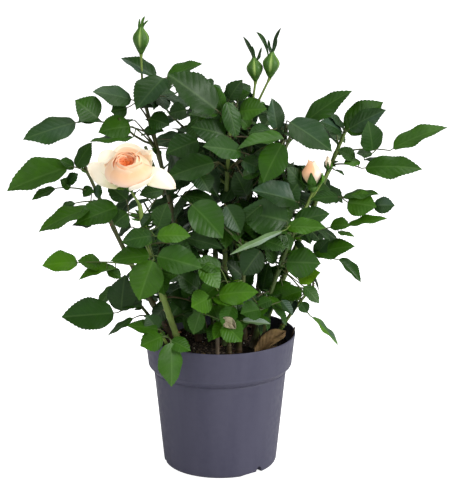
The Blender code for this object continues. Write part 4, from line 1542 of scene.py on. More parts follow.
@dataclass(frozen=True)
class Patch:
    """A sheet along a bow from its root past its belly to its tip, in mm.

    Its hollow side turns to face, and cup is how deep the hollow is as a share of half its width.
    Tint is how deep its colour is on its finish's ramp.
    """

    root: tuple[float, float, float]
    belly: tuple[float, float, float]
    tip: tuple[float, float, float]
    width: float
    cup: float = 0.2
    face: tuple[float, float, float] = (0, -1, 0.4)
    tint: float = 0.0
    outline: Outline = Outline.SEPAL

    WAVES_ACROSS = 5
    WAVES_ALONG = 6
    FALL_BACK = 0.55
    DRAWN_IN = 0.12

    def grid(self, rows: int, columns: int, ripple: float = 0.0) -> tuple[list, list]:
        """The patch's points, and how far along and across it each one is.

        Args:
            rows: How many rows it has along its bow.
            columns: How many columns it has.
            ripple: How high its rim waves, in mm.

        Returns:
            The rows of points and the rows of (along, across).
        """
        start, end, power, skew = self.outline.value
        root, belly, tip = (Vector(point) * MM for point in (self.root, self.belly, self.tip))
        grid, marks = [], []
        for r in range(rows + 1):
            u = r / rows
            spot = bow(root, belly, tip, u)
            way = ((belly - root) * (1 - u) + (tip - belly) * u).normalized()
            face = unit_across(way, Vector(self.face))
            side = face.cross(way)
            half = self.width * MM / 2 * math.sin(math.pi * (start + (end - start) * u**skew)) ** power
            grid.append([])
            marks.append([])
            for c in range(columns + 1):
                v = 2 * c / columns - 1
                wave = ripple * MM * math.sin(
                    v * self.WAVES_ACROSS + u * self.WAVES_ALONG + self.width
                ) * max(u, abs(v)) ** 2
                lift = self.cup * half * v * v + wave
                back = half * self.FALL_BACK * v * v * ease(u, 0.45, 1.0) if self.outline is Outline.PETAL else 0.0
                grid[-1].append(
                    spot + side * half * v * (1 - self.DRAWN_IN * self.cup * v * v) + face * lift - way * back
                )
                marks[-1].append((u, 0.5 + v / 2))
        return grid, marks


@dataclass(frozen=True)
class Whorl:
    """A petal or sepal that stands round an axis like part of a cup, in mm.

    Its middle stands at its bearing, in degrees. Wrap is half the angle that it wraps round the axis,
    curl how far its rim leans in as a share of its radius, and waist how wide its foot is as such a
    share. Spiral is how far one edge stands outside the other, twist how far it turns on its way up,
    and point how sharply it narrows. Tint is how deep its colour is, and pink how pink its root is.
    """

    bearing: float
    radius: float
    height: float
    wrap: float
    curl: float = 0.1
    tint: float = 0.3
    pink: float = 0.0
    spiral: float = 1.0
    twist: float = 0.0
    point: float = 0.0
    waist: float = 0.2

    ROWS = 12
    COLUMNS = 16
    BELLY_AT = 0.55
    EDGE_SWAY = 0.3
    EDGE_WAVE = 0.35
    CORNER_DROP = 0.14
    NARROWEST = 0.45

    def grid(self, base: Vector, axis: Vector, phase: float) -> tuple[list, list]:
        """The sheet's points, and how far along and across it each one is.

        Args:
            base: The cup's foot, in metres.
            axis: The flower's axis.
            phase: Where its rim's waves start.

        Returns:
            The rows of points and the rows of (along, across).
        """
        across, other = axis_frame(axis)
        grid, marks = [], []
        rows, columns = self.ROWS, self.COLUMNS
        for r in range(rows + 1):
            grid.append([])
            marks.append([])
            for c in range(columns + 1):
                u, v = r / rows, 2 * c / columns - 1
                swell = self.waist + (1 - self.waist) * math.sin(min(u / self.BELLY_AT, 1) * math.pi / 2)
                swell *= 1 - self.curl * ease(u, 0.5, 1.0)
                far = self.radius * swell + self.spiral * v * u + self.EDGE_SWAY * math.sin(v * 5 + phase) * u * u
                drop = self.CORNER_DROP * v * v * ease(u, 0.4, 1.0) * (1 - self.point)
                rise = self.height * (u - drop) + self.EDGE_WAVE * math.sin(v * 7 + phase) * u * u
                open_out = self.NARROWEST + (1 - self.NARROWEST) * math.sqrt(math.sin(math.pi * (0.08 + 0.6 * u)))
                wrap = self.wrap * open_out * (1 - self.point * u**1.3)
                angle = math.radians(self.bearing) + self.twist * u + v * wrap
                side = across * math.cos(angle) + other * math.sin(angle)
                grid[-1].append(base + (side * far + axis * rise) * MM)
                marks[-1].append((u, 0.5 + v / 2))
        return grid, marks


@dataclass(frozen=True)
class Head:
    """A bud on its stalk, from base to tip, in mm, with its sepals' leafy ends."""

    base: tuple[float, float, float]
    tip: tuple[float, float, float]
    radius: float
    sepals: tuple[Patch, ...] = ()
    petals: tuple[Whorl, ...] = ()
    seam_deg: float = -90.0


DARK, DEEP, MID, FRESH, BRIGHT, YOUNG, GREY, DULL, PALE = Tone
YOUNG_TONES = (MID, FRESH, DEEP, MID)
CANES = (
    Cane("front_left", (-31, -31), (-66, -60, 246), (0.75, 0.57), (2.9, 1.9), 160, 3, 0, 56, 0.9),
    Cane("far_left", (-36, -8), (-114, -15, 270), (0.45, 0.35), (2.8, 1.5), 228, 1, 0, 56, 0.42),
    Cane("top_left", (-18, 6), (-65, 5, 325), (0.5, 0.6), (3.0, 1.6), 232, 4, 1, 62, 0.4),
    Cane("centre", (5, -8), (10, -14, 322), (-0.6, 0.5), (2.8, 1.5), 180, 8, 1, 62, 0.8),
    Cane("top_middle", (20, 10), (26, 5, 306), (0.6, 0.5), (2.9, 1.7), 180, 7, 1, 62, 0.6),
    Cane("right_middle", (30, 22), (57, 6, 298), (0.3, 0.6), (2.8, 1.5), 175, 7, 1, 62, 0.5),
    Cane("right", (36, 34), (108, 8, 298), (0.45, 0.45), (3.0, 1.6), 200, 3, 1, 62, 0.75),
    Cane("front_right", (28, -14), (69, -27, 230), (0.4, 0.5), (2.6, 1.6), 150, 4, 1, 58, 0.6),
    Cane("front_middle", (16, -26), (22, -50, 212), (0.4, 0.5), (2.4, 1.4), 132, 4, 0, 52, 0.5, YOUNG_TONES),
    Cane("low_right", (47, 8), (80, -4, 160), (0.4, 0.5), (2.0, 1.2), 122, 2, 0, 52, 0.8, YOUNG_TONES),
    Cane("low_front", (8, -38), (6, -46, 166), (0.4, 0.5), (2.0, 1.2), 120, 1, 0, 46, 0.3, YOUNG_TONES),
    Cane("low_left", (-46, 2), (-74, -12, 152), (0.4, 0.5), (2.0, 1.2), 118, 2, 0, 52, 0.5),
    Cane("low_back", (-6, 46), (-14, 76, 172), (0.4, 0.5), (2.0, 1.2), 122, 4, 0, 56, 0.7),
    Cane("pot_edge", (-42, -30), (-50, -50, 132), (0.4, 0.5), (1.8, 1.1), 114, 0, 0, 45, 0.9, YOUNG_TONES),
    Cane("back_left", (-20, 34), (-66, 84, 262), (0.35, 0.6), (2.8, 1.5), 142, 9, 2, 80, 0.5),
    Cane("back_right", (16, 42), (62, 90, 270), (0.35, 0.6), (2.8, 1.5), 142, 9, 2, 80, 0.5),
    Cane("back_middle", (-2, 24), (-10, 44, 316), (0.4, 0.6), (2.8, 1.5), 180, 8, 2, 72, 0.5),
)

SPRAYS = (
    spray(
        "top_left", 290, ((-117, -22, 308), (-162, -30, 292), 27, 38, DULL),
        ((-101, -18, 309), (-120, -20, 325), 23, 20, DEEP), ((-98, -18, 308), (-118, -30, 309), 17, 62, DULL),
    ),
    spray(
        "top_left", 300, ((-72, -8, 323), (-105, -16, 331), 23, 42, DULL),
        ((-77, -6, 316), (-91, -10, 314), 14, 10, DEEP), ((-68, -2, 317), (-53, -8, 317), 16, 60, DULL),
    ),
    spray(
        "top_left", 275, ((-73, -14, 302), (-101, -22, 300), 23, 30, MID),
        ((-70, -20, 294), (-107, -34, 293), 21, 72, MID),
    ),
    spray("top_left", 272, ((-65, -4, 297), (-47, -10, 296), 12, 48, DEEP)),
    spray(
        "top_left", 316, ((-52, 6, 338), (-83, 14, 354), 15, 45, GREY), ((-46, 2, 341), (-68, -22, 319), 25, 30, DULL),
        ((-46, 4, 339), (-14, -2, 351), 19, 52, MID),
    ),
    spray(
        "top_left", 270, ((-60, -10, 308), (-42, -14, 304), 17, 15, DEEP),
        ((-27, -8, 315), (-43, -12, 312), 15, 20, DEEP), ((-17, -16, 291), (-44, -26, 281), 22, 15, DEEP),
        ((-12, -14, 282), (-35, -16, 269), 19, 20, DARK),
    ),
    spray("centre", 300, ((-1, -24, 317), (-43, -34, 348), 29, 24, DARK)),
    spray(
        "centre", 310, ((2, -18, 315), (-5, -20, 338), 11, 10, MID), ((-1, -20, 315), (-25, -30, 314), 15, 52, MID),
        ((5, -22, 326), (15, -26, 295), 15, 20, DEEP), ((7, -14, 324), (18, -16, 343), 13, 10, DARK),
    ),
    spray(
        "centre", 285, ((7, -24, 296), (-23, -30, 305), 20, 20, DARK), ((19, -44, 287), (-14, -56, 293), 22, 35, DEEP),
        ((55, -36, 297), (15, -46, 289), 19, 48, MID),
    ),
    spray(
        "centre", 262, ((-2, -28, 275), (-45, -40, 264), 21, 25, DEEP), ((-18, -24, 264), (-9, -30, 250), 17, 15, DULL),
        ((-33, -24, 245), (-3, -30, 242), 15, 30, DARK),
    ),
    spray(
        "centre", 262, ((17, -30, 277), (36, -36, 269), 14, 30, DULL), ((18, -28, 262), (36, -32, 268), 10, 30, MID),
        ((23, -22, 243), (13, -26, 266), 17, 10, DARK),
    ),
    spray(
        "top_middle", 292, ((15, -8, 313), (39, -20, 318), 19, 25, FRESH),
        ((25, -10, 300), (17, -14, 309), 10, 10, FRESH), ((14, 0, 323), (25, -4, 328), 9, 30, MID),
    ),
    spray(
        "top_middle", 285, ((44, -16, 300), (24, -24, 298), 12, 35, DULL),
        ((48, -12, 298), (42, -10, 325), 15, 25, GREY),
    ),
    spray(
        "top_middle", 270, ((53, -34, 294), (35, -44, 263), 22, 10, MID),
        ((40, -30, 286), (25, -34, 265), 14, 30, DARK),
    ),
    spray(
        "right_middle", 285, ((56, -14, 307), (93, -30, 285), 25, 22, DULL),
        ((70, -2, 301), (109, -12, 331), 19, 48, MID),
    ),
    spray(
        "right_middle", 268, ((66, -40, 243), (27, -50, 256), 24, 30, GREY),
        ((53, -36, 239), (65, -40, 259), 16, 20, DULL), ((72, -28, 251), (56, -34, 271), 15, 25, DEEP),
    ),
    spray(
        "right", 296, ((105, 0, 293), (136, -6, 321), 26, 20, MID), ((107, -10, 298), (138, -18, 317), 17, 30, GREY),
        ((104, -2, 294), (84, -8, 305), 15, 50, GREY), ((105, 0, 295), (87, 6, 310), 10, 62, DULL),
    ),
    spray(
        "right", 272, ((143, -8, 280), (189, -14, 302), 21, 48, MID), ((128, -14, 280), (124, -22, 309), 19, 15, DARK),
        ((120, -6, 271), (140, -12, 274), 12, 72, GREY), ((129, -8, 277), (115, -10, 277), 11, 62, DARK),
    ),
    spray(
        "right", 262, ((119, -18, 267), (168, -34, 272), 21, 35, DEEP), ((119, -10, 271), (104, -14, 270), 12, 50, MID),
        ((115, -6, 272), (99, -8, 280), 13, 35, DEEP),
    ),
    spray("right", 258, ((96, -10, 264), (105, -16, 260), 7, 55, DEEP)),
    spray(
        "right", 232, ((102, -18, 242), (133, -26, 248), 18, 60, MID),
        ((106, -24, 239), (131, -34, 238), 22, 15, FRESH), ((128, -26, 237), (146, -32, 238), 13, 20, GREY),
        ((101, -18, 242), (76, -26, 243), 16, 35, DEEP),
    ),
    spray(
        "front_right", 206, ((105, -30, 220), (140, -38, 226), 11, 55, FRESH),
        ((92, -28, 220), (109, -36, 222), 13, 40, MID), ((98, -30, 215), (113, -36, 212), 9, 60, FRESH),
    ),
    spray(
        "front_right", 214, ((54, -54, 226), (87, -62, 225), 15, 30, FRESH),
        ((60, -44, 227), (91, -50, 236), 18, 25, DEEP), ((58, -46, 228), (17, -52, 239), 28, 15, DEEP),
    ),
    spray(
        "front_right", 192, ((78, -32, 195), (112, -38, 206), 21, 42, MID),
        ((99, -30, 192), (119, -34, 173), 10, 32, DEEP), ((80, -30, 193), (92, -34, 209), 13, 30, DULL),
    ),
    spray(
        "front_right", 180, ((54, -38, 191), (84, -46, 191), 24, 20, MID),
        ((65, -36, 174), (84, -42, 183), 14, 35, YOUNG), ((70, -30, 168), (84, -34, 154), 11, 38, MID),
    ),
    spray(
        "front_right", 152, ((36, -14, 156), (42, -18, 185), 14, 30, DARK),
        ((40, -14, 170), (57, -8, 178), 11, 35, DEEP), ((44, -16, 158), (60, -12, 166), 11, 30, MID),
    ),
    spray("front_right", 219, ((55, -70, 228), (9, -80, 209), 5.5, 160, PALE)),
    spray(
        "front_middle", 205, ((-25, -56, 247), (3, -66, 221), 26, 15, MID),
        ((-32, -46, 214), (2, -50, 208), 17, 35, DARK),
    ),
    spray(
        "front_middle", 200, ((4, -52, 245), (18, -56, 222), 17, 20, DULL),
        ((35, -50, 205), (19, -54, 185), 20, 20, DARK), ((36, -52, 245), (19, -56, 231), 13, 25, DEEP),
    ),
    spray(
        "front_middle", 162, ((25, -24, 168), (6, -30, 189), 17, 20, DARK),
        ((20, -26, 164), (30, -30, 182), 11, 35, DEEP),
    ),
    spray(
        "front_middle", 176, ((-3, -60, 168), (31, -70, 175), 19, 30, BRIGHT),
        ((-16, -58, 197), (0, -66, 177), 17, 22, FRESH), ((2, -54, 190), (-22, -60, 197), 14, 35, MID),
    ),
    spray(
        "front_middle", 168, ((35, -50, 153), (17, -58, 152), 17, 20, MID),
        ((44, -46, 160), (32, -50, 156), 10, 30, MID), ((51, -44, 160), (61, -48, 147), 9, 25, GREY),
    ),
    spray(
        "low_right", 152, ((71, -14, 159), (52, -20, 154), 13, 30, FRESH),
        ((69, -10, 148), (74, -12, 138), 9, 15, DEEP), ((66, -8, 149), (63, -10, 136), 8, 50, GREY),
    ),
    spray("low_right", 142, ((77, -12, 136), (101, -22, 113), 9, 66, PALE)),
    spray(
        "low_right", 156, ((54, -14, 161), (37, -20, 157), 10, 35, MID), ((48, -16, 184), (38, -20, 196), 10, 20, MID),
    ),
    spray(
        "low_front", 160, ((-7, -58, 166), (20, -66, 162), 14, 30, BRIGHT),
        ((-7, -58, 167), (-23, -64, 159), 19, 12, BRIGHT), ((-17, -52, 170), (-36, -56, 186), 17, 25, DEEP),
    ),
    spray(
        "low_front", 146, ((2, -60, 145), (18, -66, 130), 18, 15, FRESH),
        ((-16, -54, 153), (-22, -58, 134), 14, 15, MID),
    ),
    spray("low_front", 128, ((17, -52, 144), (42, -58, 141), 7, 140, PALE)),
    spray(
        "front_left", 162, ((-20, -20, 149), (-44, -30, 160), 18, 20, DARK),
        ((-26, -26, 156), (-30, -32, 172), 12, 30, DEEP),
    ),
    spray(
        "front_left", 160, ((-42, -12, 150), (-57, -18, 132), 15, 25, DARK),
        ((-29, -14, 151), (-42, -20, 139), 13, 20, DEEP),
    ),
    spray(
        "front_left", 212, ((-54, -82, 207), (-66, -88, 173), 26, 12, FRESH),
        ((-56, -78, 208), (-89, -80, 202), 20, 42, MID), ((-53, -78, 208), (-16, -84, 197), 24, 28, MID),
        ((-57, -74, 215), (-63, -74, 228), 9, 40, FRESH),
    ),
    spray(
        "front_left", 226, ((-53, -80, 225), (-24, -86, 225), 17, 48, FRESH),
        ((-54, -76, 224), (-80, -78, 221), 17, 22, DEEP), ((-51, -68, 228), (-44, -66, 249), 17, 15, DEEP),
    ),
    spray(
        "front_left", 232, ((-104, -52, 242), (-149, -60, 224), 27, 58, MID),
        ((-83, -54, 243), (-118, -64, 230), 24, 40, DEEP), ((-106, -50, 226), (-122, -56, 227), 12, 60, GREY),
    ),
    spray(
        "front_left", 236, ((-75, -58, 239), (-88, -62, 231), 16, 8, DEEP),
        ((-76, -52, 248), (-93, -50, 260), 15, 25, DARK), ((-46, -50, 256), (-66, -54, 253), 14, 30, DARK),
        ((-55, -60, 239), (-64, -64, 227), 10, 35, GREY),
    ),
    spray(
        "front_left", 186, ((-117, -44, 192), (-148, -50, 191), 19, 42, BRIGHT),
        ((-99, -42, 188), (-119, -46, 193), 15, 42, FRESH), ((-85, -46, 188), (-117, -52, 178), 14, 58, FRESH),
        ((-95, -46, 188), (-83, -50, 180), 11, 45, MID),
    ),
    spray(
        "far_left", 262, ((-124, -24, 270), (-176, -34, 250), 32, 40, MID),
        ((-121, -20, 268), (-134, -24, 275), 12, 45, DEEP), ((-121, -18, 267), (-107, -16, 288), 17, 32, DEEP),
    ),
    spray(
        "far_left", 244, ((-136, -26, 252), (-157, -32, 243), 11, 50, MID),
        ((-125, -24, 251), (-134, -26, 259), 11, 35, MID), ((-129, -24, 255), (-118, -26, 264), 10, 38, GREY),
    ),
    spray(
        "far_left", 236, ((-121, -22, 238), (-132, -26, 236), 8, 50, DEEP),
        ((-107, -18, 251), (-115, -20, 243), 10, 40, DEEP), ((-102, -20, 240), (-101, -20, 255), 8, 48, GREY),
    ),
    spray(
        "low_left", 142, ((-87, -30, 144), (-133, -40, 141), 26, 18, DEEP),
        ((-84, -26, 143), (-80, -24, 176), 22, 15, DARK), ((-65, -24, 153), (-83, -28, 147), 15, 40, DEEP),
    ),
    spray("low_left", 132, ((-72, -34, 141), (-95, -40, 127), 13, 58, DEEP)),
    spray(
        "pot_edge", 128, ((-41, -70, 133), (-40, -78, 95), 22, 15, FRESH),
        ((-42, -66, 131), (-25, -70, 123), 15, 40, MID), ((-47, -64, 134), (-66, -70, 127), 18, 25, FRESH),
    ),
    spray(
        "pot_edge", 124, ((-50, -52, 136), (-78, -58, 140), 15, 38, MID),
        ((-52, -50, 134), (-62, -50, 148), 15, 25, DULL),
    ),
)

BUDS = {
    "bud_top_left": (
        "top_left",
        (
            Head(
                (-66, 5, 360), (-66, 5, 386), 6.9,
                (
                    Patch((-65.5, 4, 380), (-66, 3, 387), (-62.5, 4, 392), 2.4, 0.4, tint=0.8),
                    Patch((-64.5, 4, 380), (-64, 5, 386), (-59.5, 5, 388.5), 1.5, 0.4, tint=0.7),
                    Patch((-66.5, 7, 379), (-68, 8, 384), (-67, 9, 389), 1.8, 0.4, tint=0.8),
                    Patch((-67, 4, 379), (-68, 2, 383), (-67.5, 2, 387), 1.4, 0.4, tint=0.7),
                    Patch((-65, 7, 379), (-64, 9, 384), (-64.5, 11, 387), 1.6, 0.4, tint=0.3),
                ),
                seam_deg=-97,
            ),
        ),
    ),
    "twin_buds": (
        "top_middle",
        (
            Head(
                (30, 6, 336.5), (28.5, 6, 359), 6.8,
                (
                    Patch((28.3, 5, 353), (27.5, 4, 364), (19.5, 4, 375), 3.4, 0.5, tint=0.0),
                    Patch((29, 5, 355), (30, 4, 360), (27, 3, 367), 1.3, 0.4, tint=0.2),
                    Patch((29.5, 5, 355), (33.5, 5, 354), (34, 5, 361), 1.5, 0.4, tint=0.1),
                    Patch((28.5, 7, 353), (28, 13, 360), (25, 15, 366), 2.6, 0.5, tint=0.1),
                    Patch((30, 7, 353), (33, 10, 357), (35, 13, 364), 2.2, 0.5, tint=0.1),
                ),
                seam_deg=-92,
            ),
            Head(
                (42, 4, 340), (44, 4, 364), 7.0,
                (
                    Patch((41.2, 3, 354), (39, 2, 374), (30.5, 2, 379), 3.6, 0.5, tint=0.2),
                    Patch((44, 3, 359), (44, 2, 372), (51, 2, 382.5), 2.8, 0.5, tint=0.0),
                    Patch((43.5, 3, 360), (44, 2, 366), (39, 1, 368), 1.8, 0.3, tint=0.2),
                    Patch((44, 6, 358), (46, 11, 364), (48, 14, 372), 2.6, 0.5, tint=0.1),
                    Patch((43, 6, 358), (41, 12, 364), (41, 15, 370), 2.4, 0.5, tint=0.1),
                ),
                seam_deg=-95,
            ),
        ),
    ),
    "half_open_buds": (
        "front_right",
        (
            Head(
                (78, -30, 250), (76, -30, 277), 8.6,
                petals=(
                    Whorl(90, 7.4, 21, 1.35, 0.5, 0.42, 0.2), Whorl(10, 6.2, 21.5, 1.5, 0.66, 0.5),
                    Whorl(200, 5.0, 21.8, 1.6, 0.76, 0.55), Whorl(100, 3.4, 20.5, 1.8, 0.86, 0.6),
                    Whorl(-24, 7.8, 22, 1.3, 0.62, 0.15, 1.0, 0.6, 0.2),
                    Whorl(-166, 8.6, 23.5, 1.2, 0.68, 0.5, 0.1, 1.0, 0.6),
                ),
            ),
            Head(
                (91, -18, 264), (90.5, -18, 278), 2.8,
                petals=(
                    Whorl(100, 2.2, 11, 1.6, 0.7, 0.3, 0.5), Whorl(-30, 2.4, 11, 1.5, 0.66, 0.15, 0.9, 0.5, 0.4),
                    Whorl(-160, 2.6, 11.5, 1.3, 0.7, 0.15, 0.8, 0.5, 0.4),
                ),
            ),
        ),
    ),
}
FLOWER_STALK_RADII = (1.1, 0.95)


def crown_radius(height: float) -> float:
    """How far the crown reaches to either side at a height, read between its outline's stations.

    Args:
        height: The height, in metres.

    Returns:
        The reach, in metres.
    """
    low = CROWN_OUTLINE[0]
    for high in CROWN_OUTLINE[1:]:
        if height <= high[0] or high is CROWN_OUTLINE[-1]:
            share = (height - low[0]) / (high[0] - low[0])
            return low[1] + (high[1] - low[1]) * share
        low = high
    return 0.0


def is_in_crown(point: Vector) -> bool:
    """Whether a point lies inside the crown.

    Args:
        point: The point.

    Returns:
        Whether it is inside.
    """
    radius = max(crown_radius(point.z), 0.02)
    across = (point.x / radius) ** 2 + (point.y / (radius * CROWN_DEPTH)) ** 2
    return across <= 1 and SOIL_LEVEL < point.z < CROWN_TOP


def seen(point: Vector) -> tuple[float, float]:
    """Where a point stands in mm, across and up, when it is seen from the front."""
    share = -VIEWER.y / (point.y - VIEWER.y)
    return (VIEWER.x + (point.x - VIEWER.x) * share) / MM, (VIEWER.z + (point.z - VIEWER.z) * share) / MM


def is_inside(spot: tuple[float, float], outline: list[tuple[float, float]]) -> bool:
    """Whether a spot lies inside a closed outline.

    Args:
        spot: The spot's place across and up.
        outline: The outline's corners in order.

    Returns:
        Whether it is inside.
    """
    x, z = spot
    inside = False
    for (x0, z0), (x1, z1) in zip(outline, outline[1:] + outline[:1]):
        if (z0 > z) != (z1 > z) and x < x0 + (x1 - x0) * (z - z0) / (z1 - z0):
            inside = not inside
    return inside


def is_covered(point: Vector) -> bool:
    """Whether a point, seen from the front, lies in the filled outline and in none of its gaps.

    Args:
        point: The point.

    Returns:
        Whether it is covered.
    """
    x, z = seen(point)
    if any(left < x < right and low < z < high for left, low, right, high in GAPS):
        return False
    return is_inside((x, z), CORE)


# ---------------------------------------------------------------- growth rule


class GrowthRule:
    """The rule by which the plant grows its leaves and side twigs, drawn in the solids' own order."""

    # Each pair is the least and most of a draw, the start and span of a part of the leafy end, or a
    # twig's way out and up, in shares of its length.
    BIAS = 0.6
    REACH = (0.8, 1.1)
    TIP_SHARE = 0.9
    TIP_RISE = (-0.35, 0.4)
    BLADE_SHARE = (0.5, 0.58)
    FACE_OUT = (0.4, 2)
    FILLED_PART = (0.10, 0.88)
    FILLED_TURN = 0.25
    FINER_TURN = 0.5
    FINER_FROM = 0.9
    FINER_REACH = (0.7, 1.12)
    FINER_COUNTS = (3, 5, 5)
    TWIG_PART = (0.15, 0.7)
    TWIG_BIAS = 0.4
    TWIG_LENGTH = (0.55, 0.8)
    TWIG_KNEE = (0.55, 0.2)
    TWIG_END = (0.8, 0.62)
    TWIG_REACH = 0.8

    def leaf(
        self, start: Vector, tip: Vector, heading: Vector, blade: float, count: int, face_way: Vector,
        rng: random.Random, spread: float = 62.0,
    ) -> Growth:
        """Grows a compound leaf.

        Args:
            start: Where its stalk leaves the stem.
            tip: Where its end leaflet ends.
            heading: The end leaflet's direction.
            blade: The end leaflet's length.
            count: How many leaflets it has.
            face_way: The direction that its upper side turns to.
            rng: The stream of random numbers.
            spread: How far its side leaflets stand out, in degrees.

        Returns:
            The leaf.
        """
        blade = min(blade, (tip - start).length * LONGEST_BLADE)
        base = tip - heading * blade
        knee = stalk_knee(start, base)
        normal = unit_across(heading, face_way)
        leaflets = [Leaflet(base, heading, normal, blade, blade * LEAF_WIDTH * rng.uniform(0.95, 1.1))]
        for pair in range((count - 1) // 2):
            size = blade * (PAIR_SIZE[0] - PAIR_SIZE[1] * pair) * rng.uniform(0.92, 1.06)
            for hand in (1, -1):
                root = bow(start, knee, base, PAIR_PLACE[0] - PAIR_PLACE[1] * pair)
                turn = math.radians(spread + rng.uniform(-PAIR_TURN_DEG, PAIR_TURN_DEG)) * hand
                way = Matrix.Rotation(turn, 3, normal) @ heading
                way = (way + normal * rng.uniform(-PAIR_LIFT, PAIR_LIFT)).normalized()
                tilt = Matrix.Rotation(math.radians(rng.uniform(-PAIR_TILT_DEG, PAIR_TILT_DEG)), 3, way)
                side_normal = tilt @ unit_across(way, normal)
                width = size * LEAF_WIDTH * rng.uniform(0.95, 1.12)
                leaflets.append(Leaflet(root, way, side_normal, size, width))
        return Growth((start, knee, base), leaflets)

    def placed(self, cane: Cane) -> Iterator[Growth]:
        """The listed compound leaves on a cane.

        Args:
            cane: The cane.

        Returns:
            The leaves, one by one.
        """
        for spray in SPRAYS:
            if spray.cane == cane.name:
                start = cane.point(cane.share(spray.height * MM))
                leaflets = [blade.leaflet() for blade in spray.blades]
                base = leaflets[0].base
                yield Growth((start, stalk_knee(start, base), base), leaflets, [blade.tone for blade in spray.blades])

    def outward(
        self, start: Vector, turn: float, reach: float, rng: random.Random, count: int = RULE_LEAFLETS,
    ) -> Growth:
        """A compound leaf sent outward at this turn about the stem, its blades hanging.

        Args:
            start: Where its stalk leaves the stem.
            turn: The bearing that it is sent at.
            reach: About how far its tip stands out.
            rng: The stream of random numbers.
            count: How many leaflets it has.

        Returns:
            The leaf.
        """
        away = Vector((start.x, start.y, 0)).normalized()
        out = (Vector((math.cos(turn), math.sin(turn), 0)) + away * self.BIAS).normalized()
        reach *= rng.uniform(*self.REACH)
        tip = start + out * reach * self.TIP_SHARE + UP * reach * rng.uniform(*self.TIP_RISE)
        droop = math.radians(rng.uniform(*RULE_DROOP_DEG))
        heading = out * math.cos(droop) - UP * math.sin(droop)
        blade = reach * rng.uniform(*self.BLADE_SHARE)
        face_way = UP + Vector((tip.x, tip.y, 0)).normalized() * rng.uniform(*self.FACE_OUT)
        return self.leaf(start, tip, heading, blade, count, face_way, rng)

    def filled(self, cane: Cane, rng: random.Random) -> Iterator[Growth]:
        """The leaves spaced up the leafy end, each turned on by the golden angle.

        Args:
            cane: The cane.
            rng: The stream of random numbers.

        Returns:
            The leaves, one by one.
        """
        first = cane.share(cane.leafy_from * MM)
        turn = rng.uniform(0, 2 * math.pi)
        low, span = self.FILLED_PART
        for i in range(cane.fill):
            share = first + (1 - first) * (low + span * (i + 0.5) / cane.fill)
            turn += GOLDEN_ANGLE + rng.uniform(-self.FILLED_TURN, self.FILLED_TURN)
            yield self.outward(cane.point(share), turn, cane.reach * MM, rng)

    def finer(self, cane: Cane, tries: int, rng: random.Random) -> Iterator[Growth]:
        """Smaller leaves that the rule offers from the cane's leafy end, to close its crown.

        Args:
            cane: The cane.
            tries: How many leaves are offered.
            rng: The stream of random numbers.

        Returns:
            The leaves, one by one.
        """
        first = cane.share(cane.leafy_from * MM) * self.FINER_FROM
        turn = rng.uniform(0, 2 * math.pi)
        for _ in range(tries):
            turn += GOLDEN_ANGLE + rng.uniform(-self.FINER_TURN, self.FINER_TURN)
            start = cane.point(first + (1 - first) * rng.random())
            reach = rng.uniform(*self.FINER_REACH) * cane.reach * MM
            yield self.outward(start, turn, reach, rng, rng.choice(self.FINER_COUNTS))

    def twigs(self, cane: Cane, rng: random.Random) -> Iterator[tuple[list[Vector], list[Growth]]]:
        """The side twigs out of the leafy end, each with a leaf at every ring.

        Args:
            cane: The cane.
            rng: The stream of random numbers.

        Returns:
            Each twig's path and its leaves.
        """
        first = cane.share(cane.leafy_from * MM)
        turn = rng.uniform(0, 2 * math.pi)
        low, span = self.TWIG_PART
        for i in range(cane.twigs):
            start = cane.point(first + (1 - first) * (low + span * (i + 0.5) / cane.twigs))
            turn += GOLDEN_ANGLE
            away = Vector((start.x, start.y, 0)).normalized()
            out = (Vector((math.cos(turn), math.sin(turn), 0)) + away * self.TWIG_BIAS).normalized()
            length = cane.reach * MM * rng.uniform(*self.TWIG_LENGTH)
            knee = start + (out * self.TWIG_KNEE[0] + UP * self.TWIG_KNEE[1]) * length
            end = start + (out * self.TWIG_END[0] + UP * self.TWIG_END[1]) * length
            path = [bow(start, knee, end, k / (TWIG_RINGS - 1)) for k in range(TWIG_RINGS)]
            reach = cane.reach * MM * self.TWIG_REACH
            leaves = [self.outward(root, turn + TWIG_TURN * (k - 1), reach, rng) for k, root in enumerate(path[1:])]
            yield path, leaves


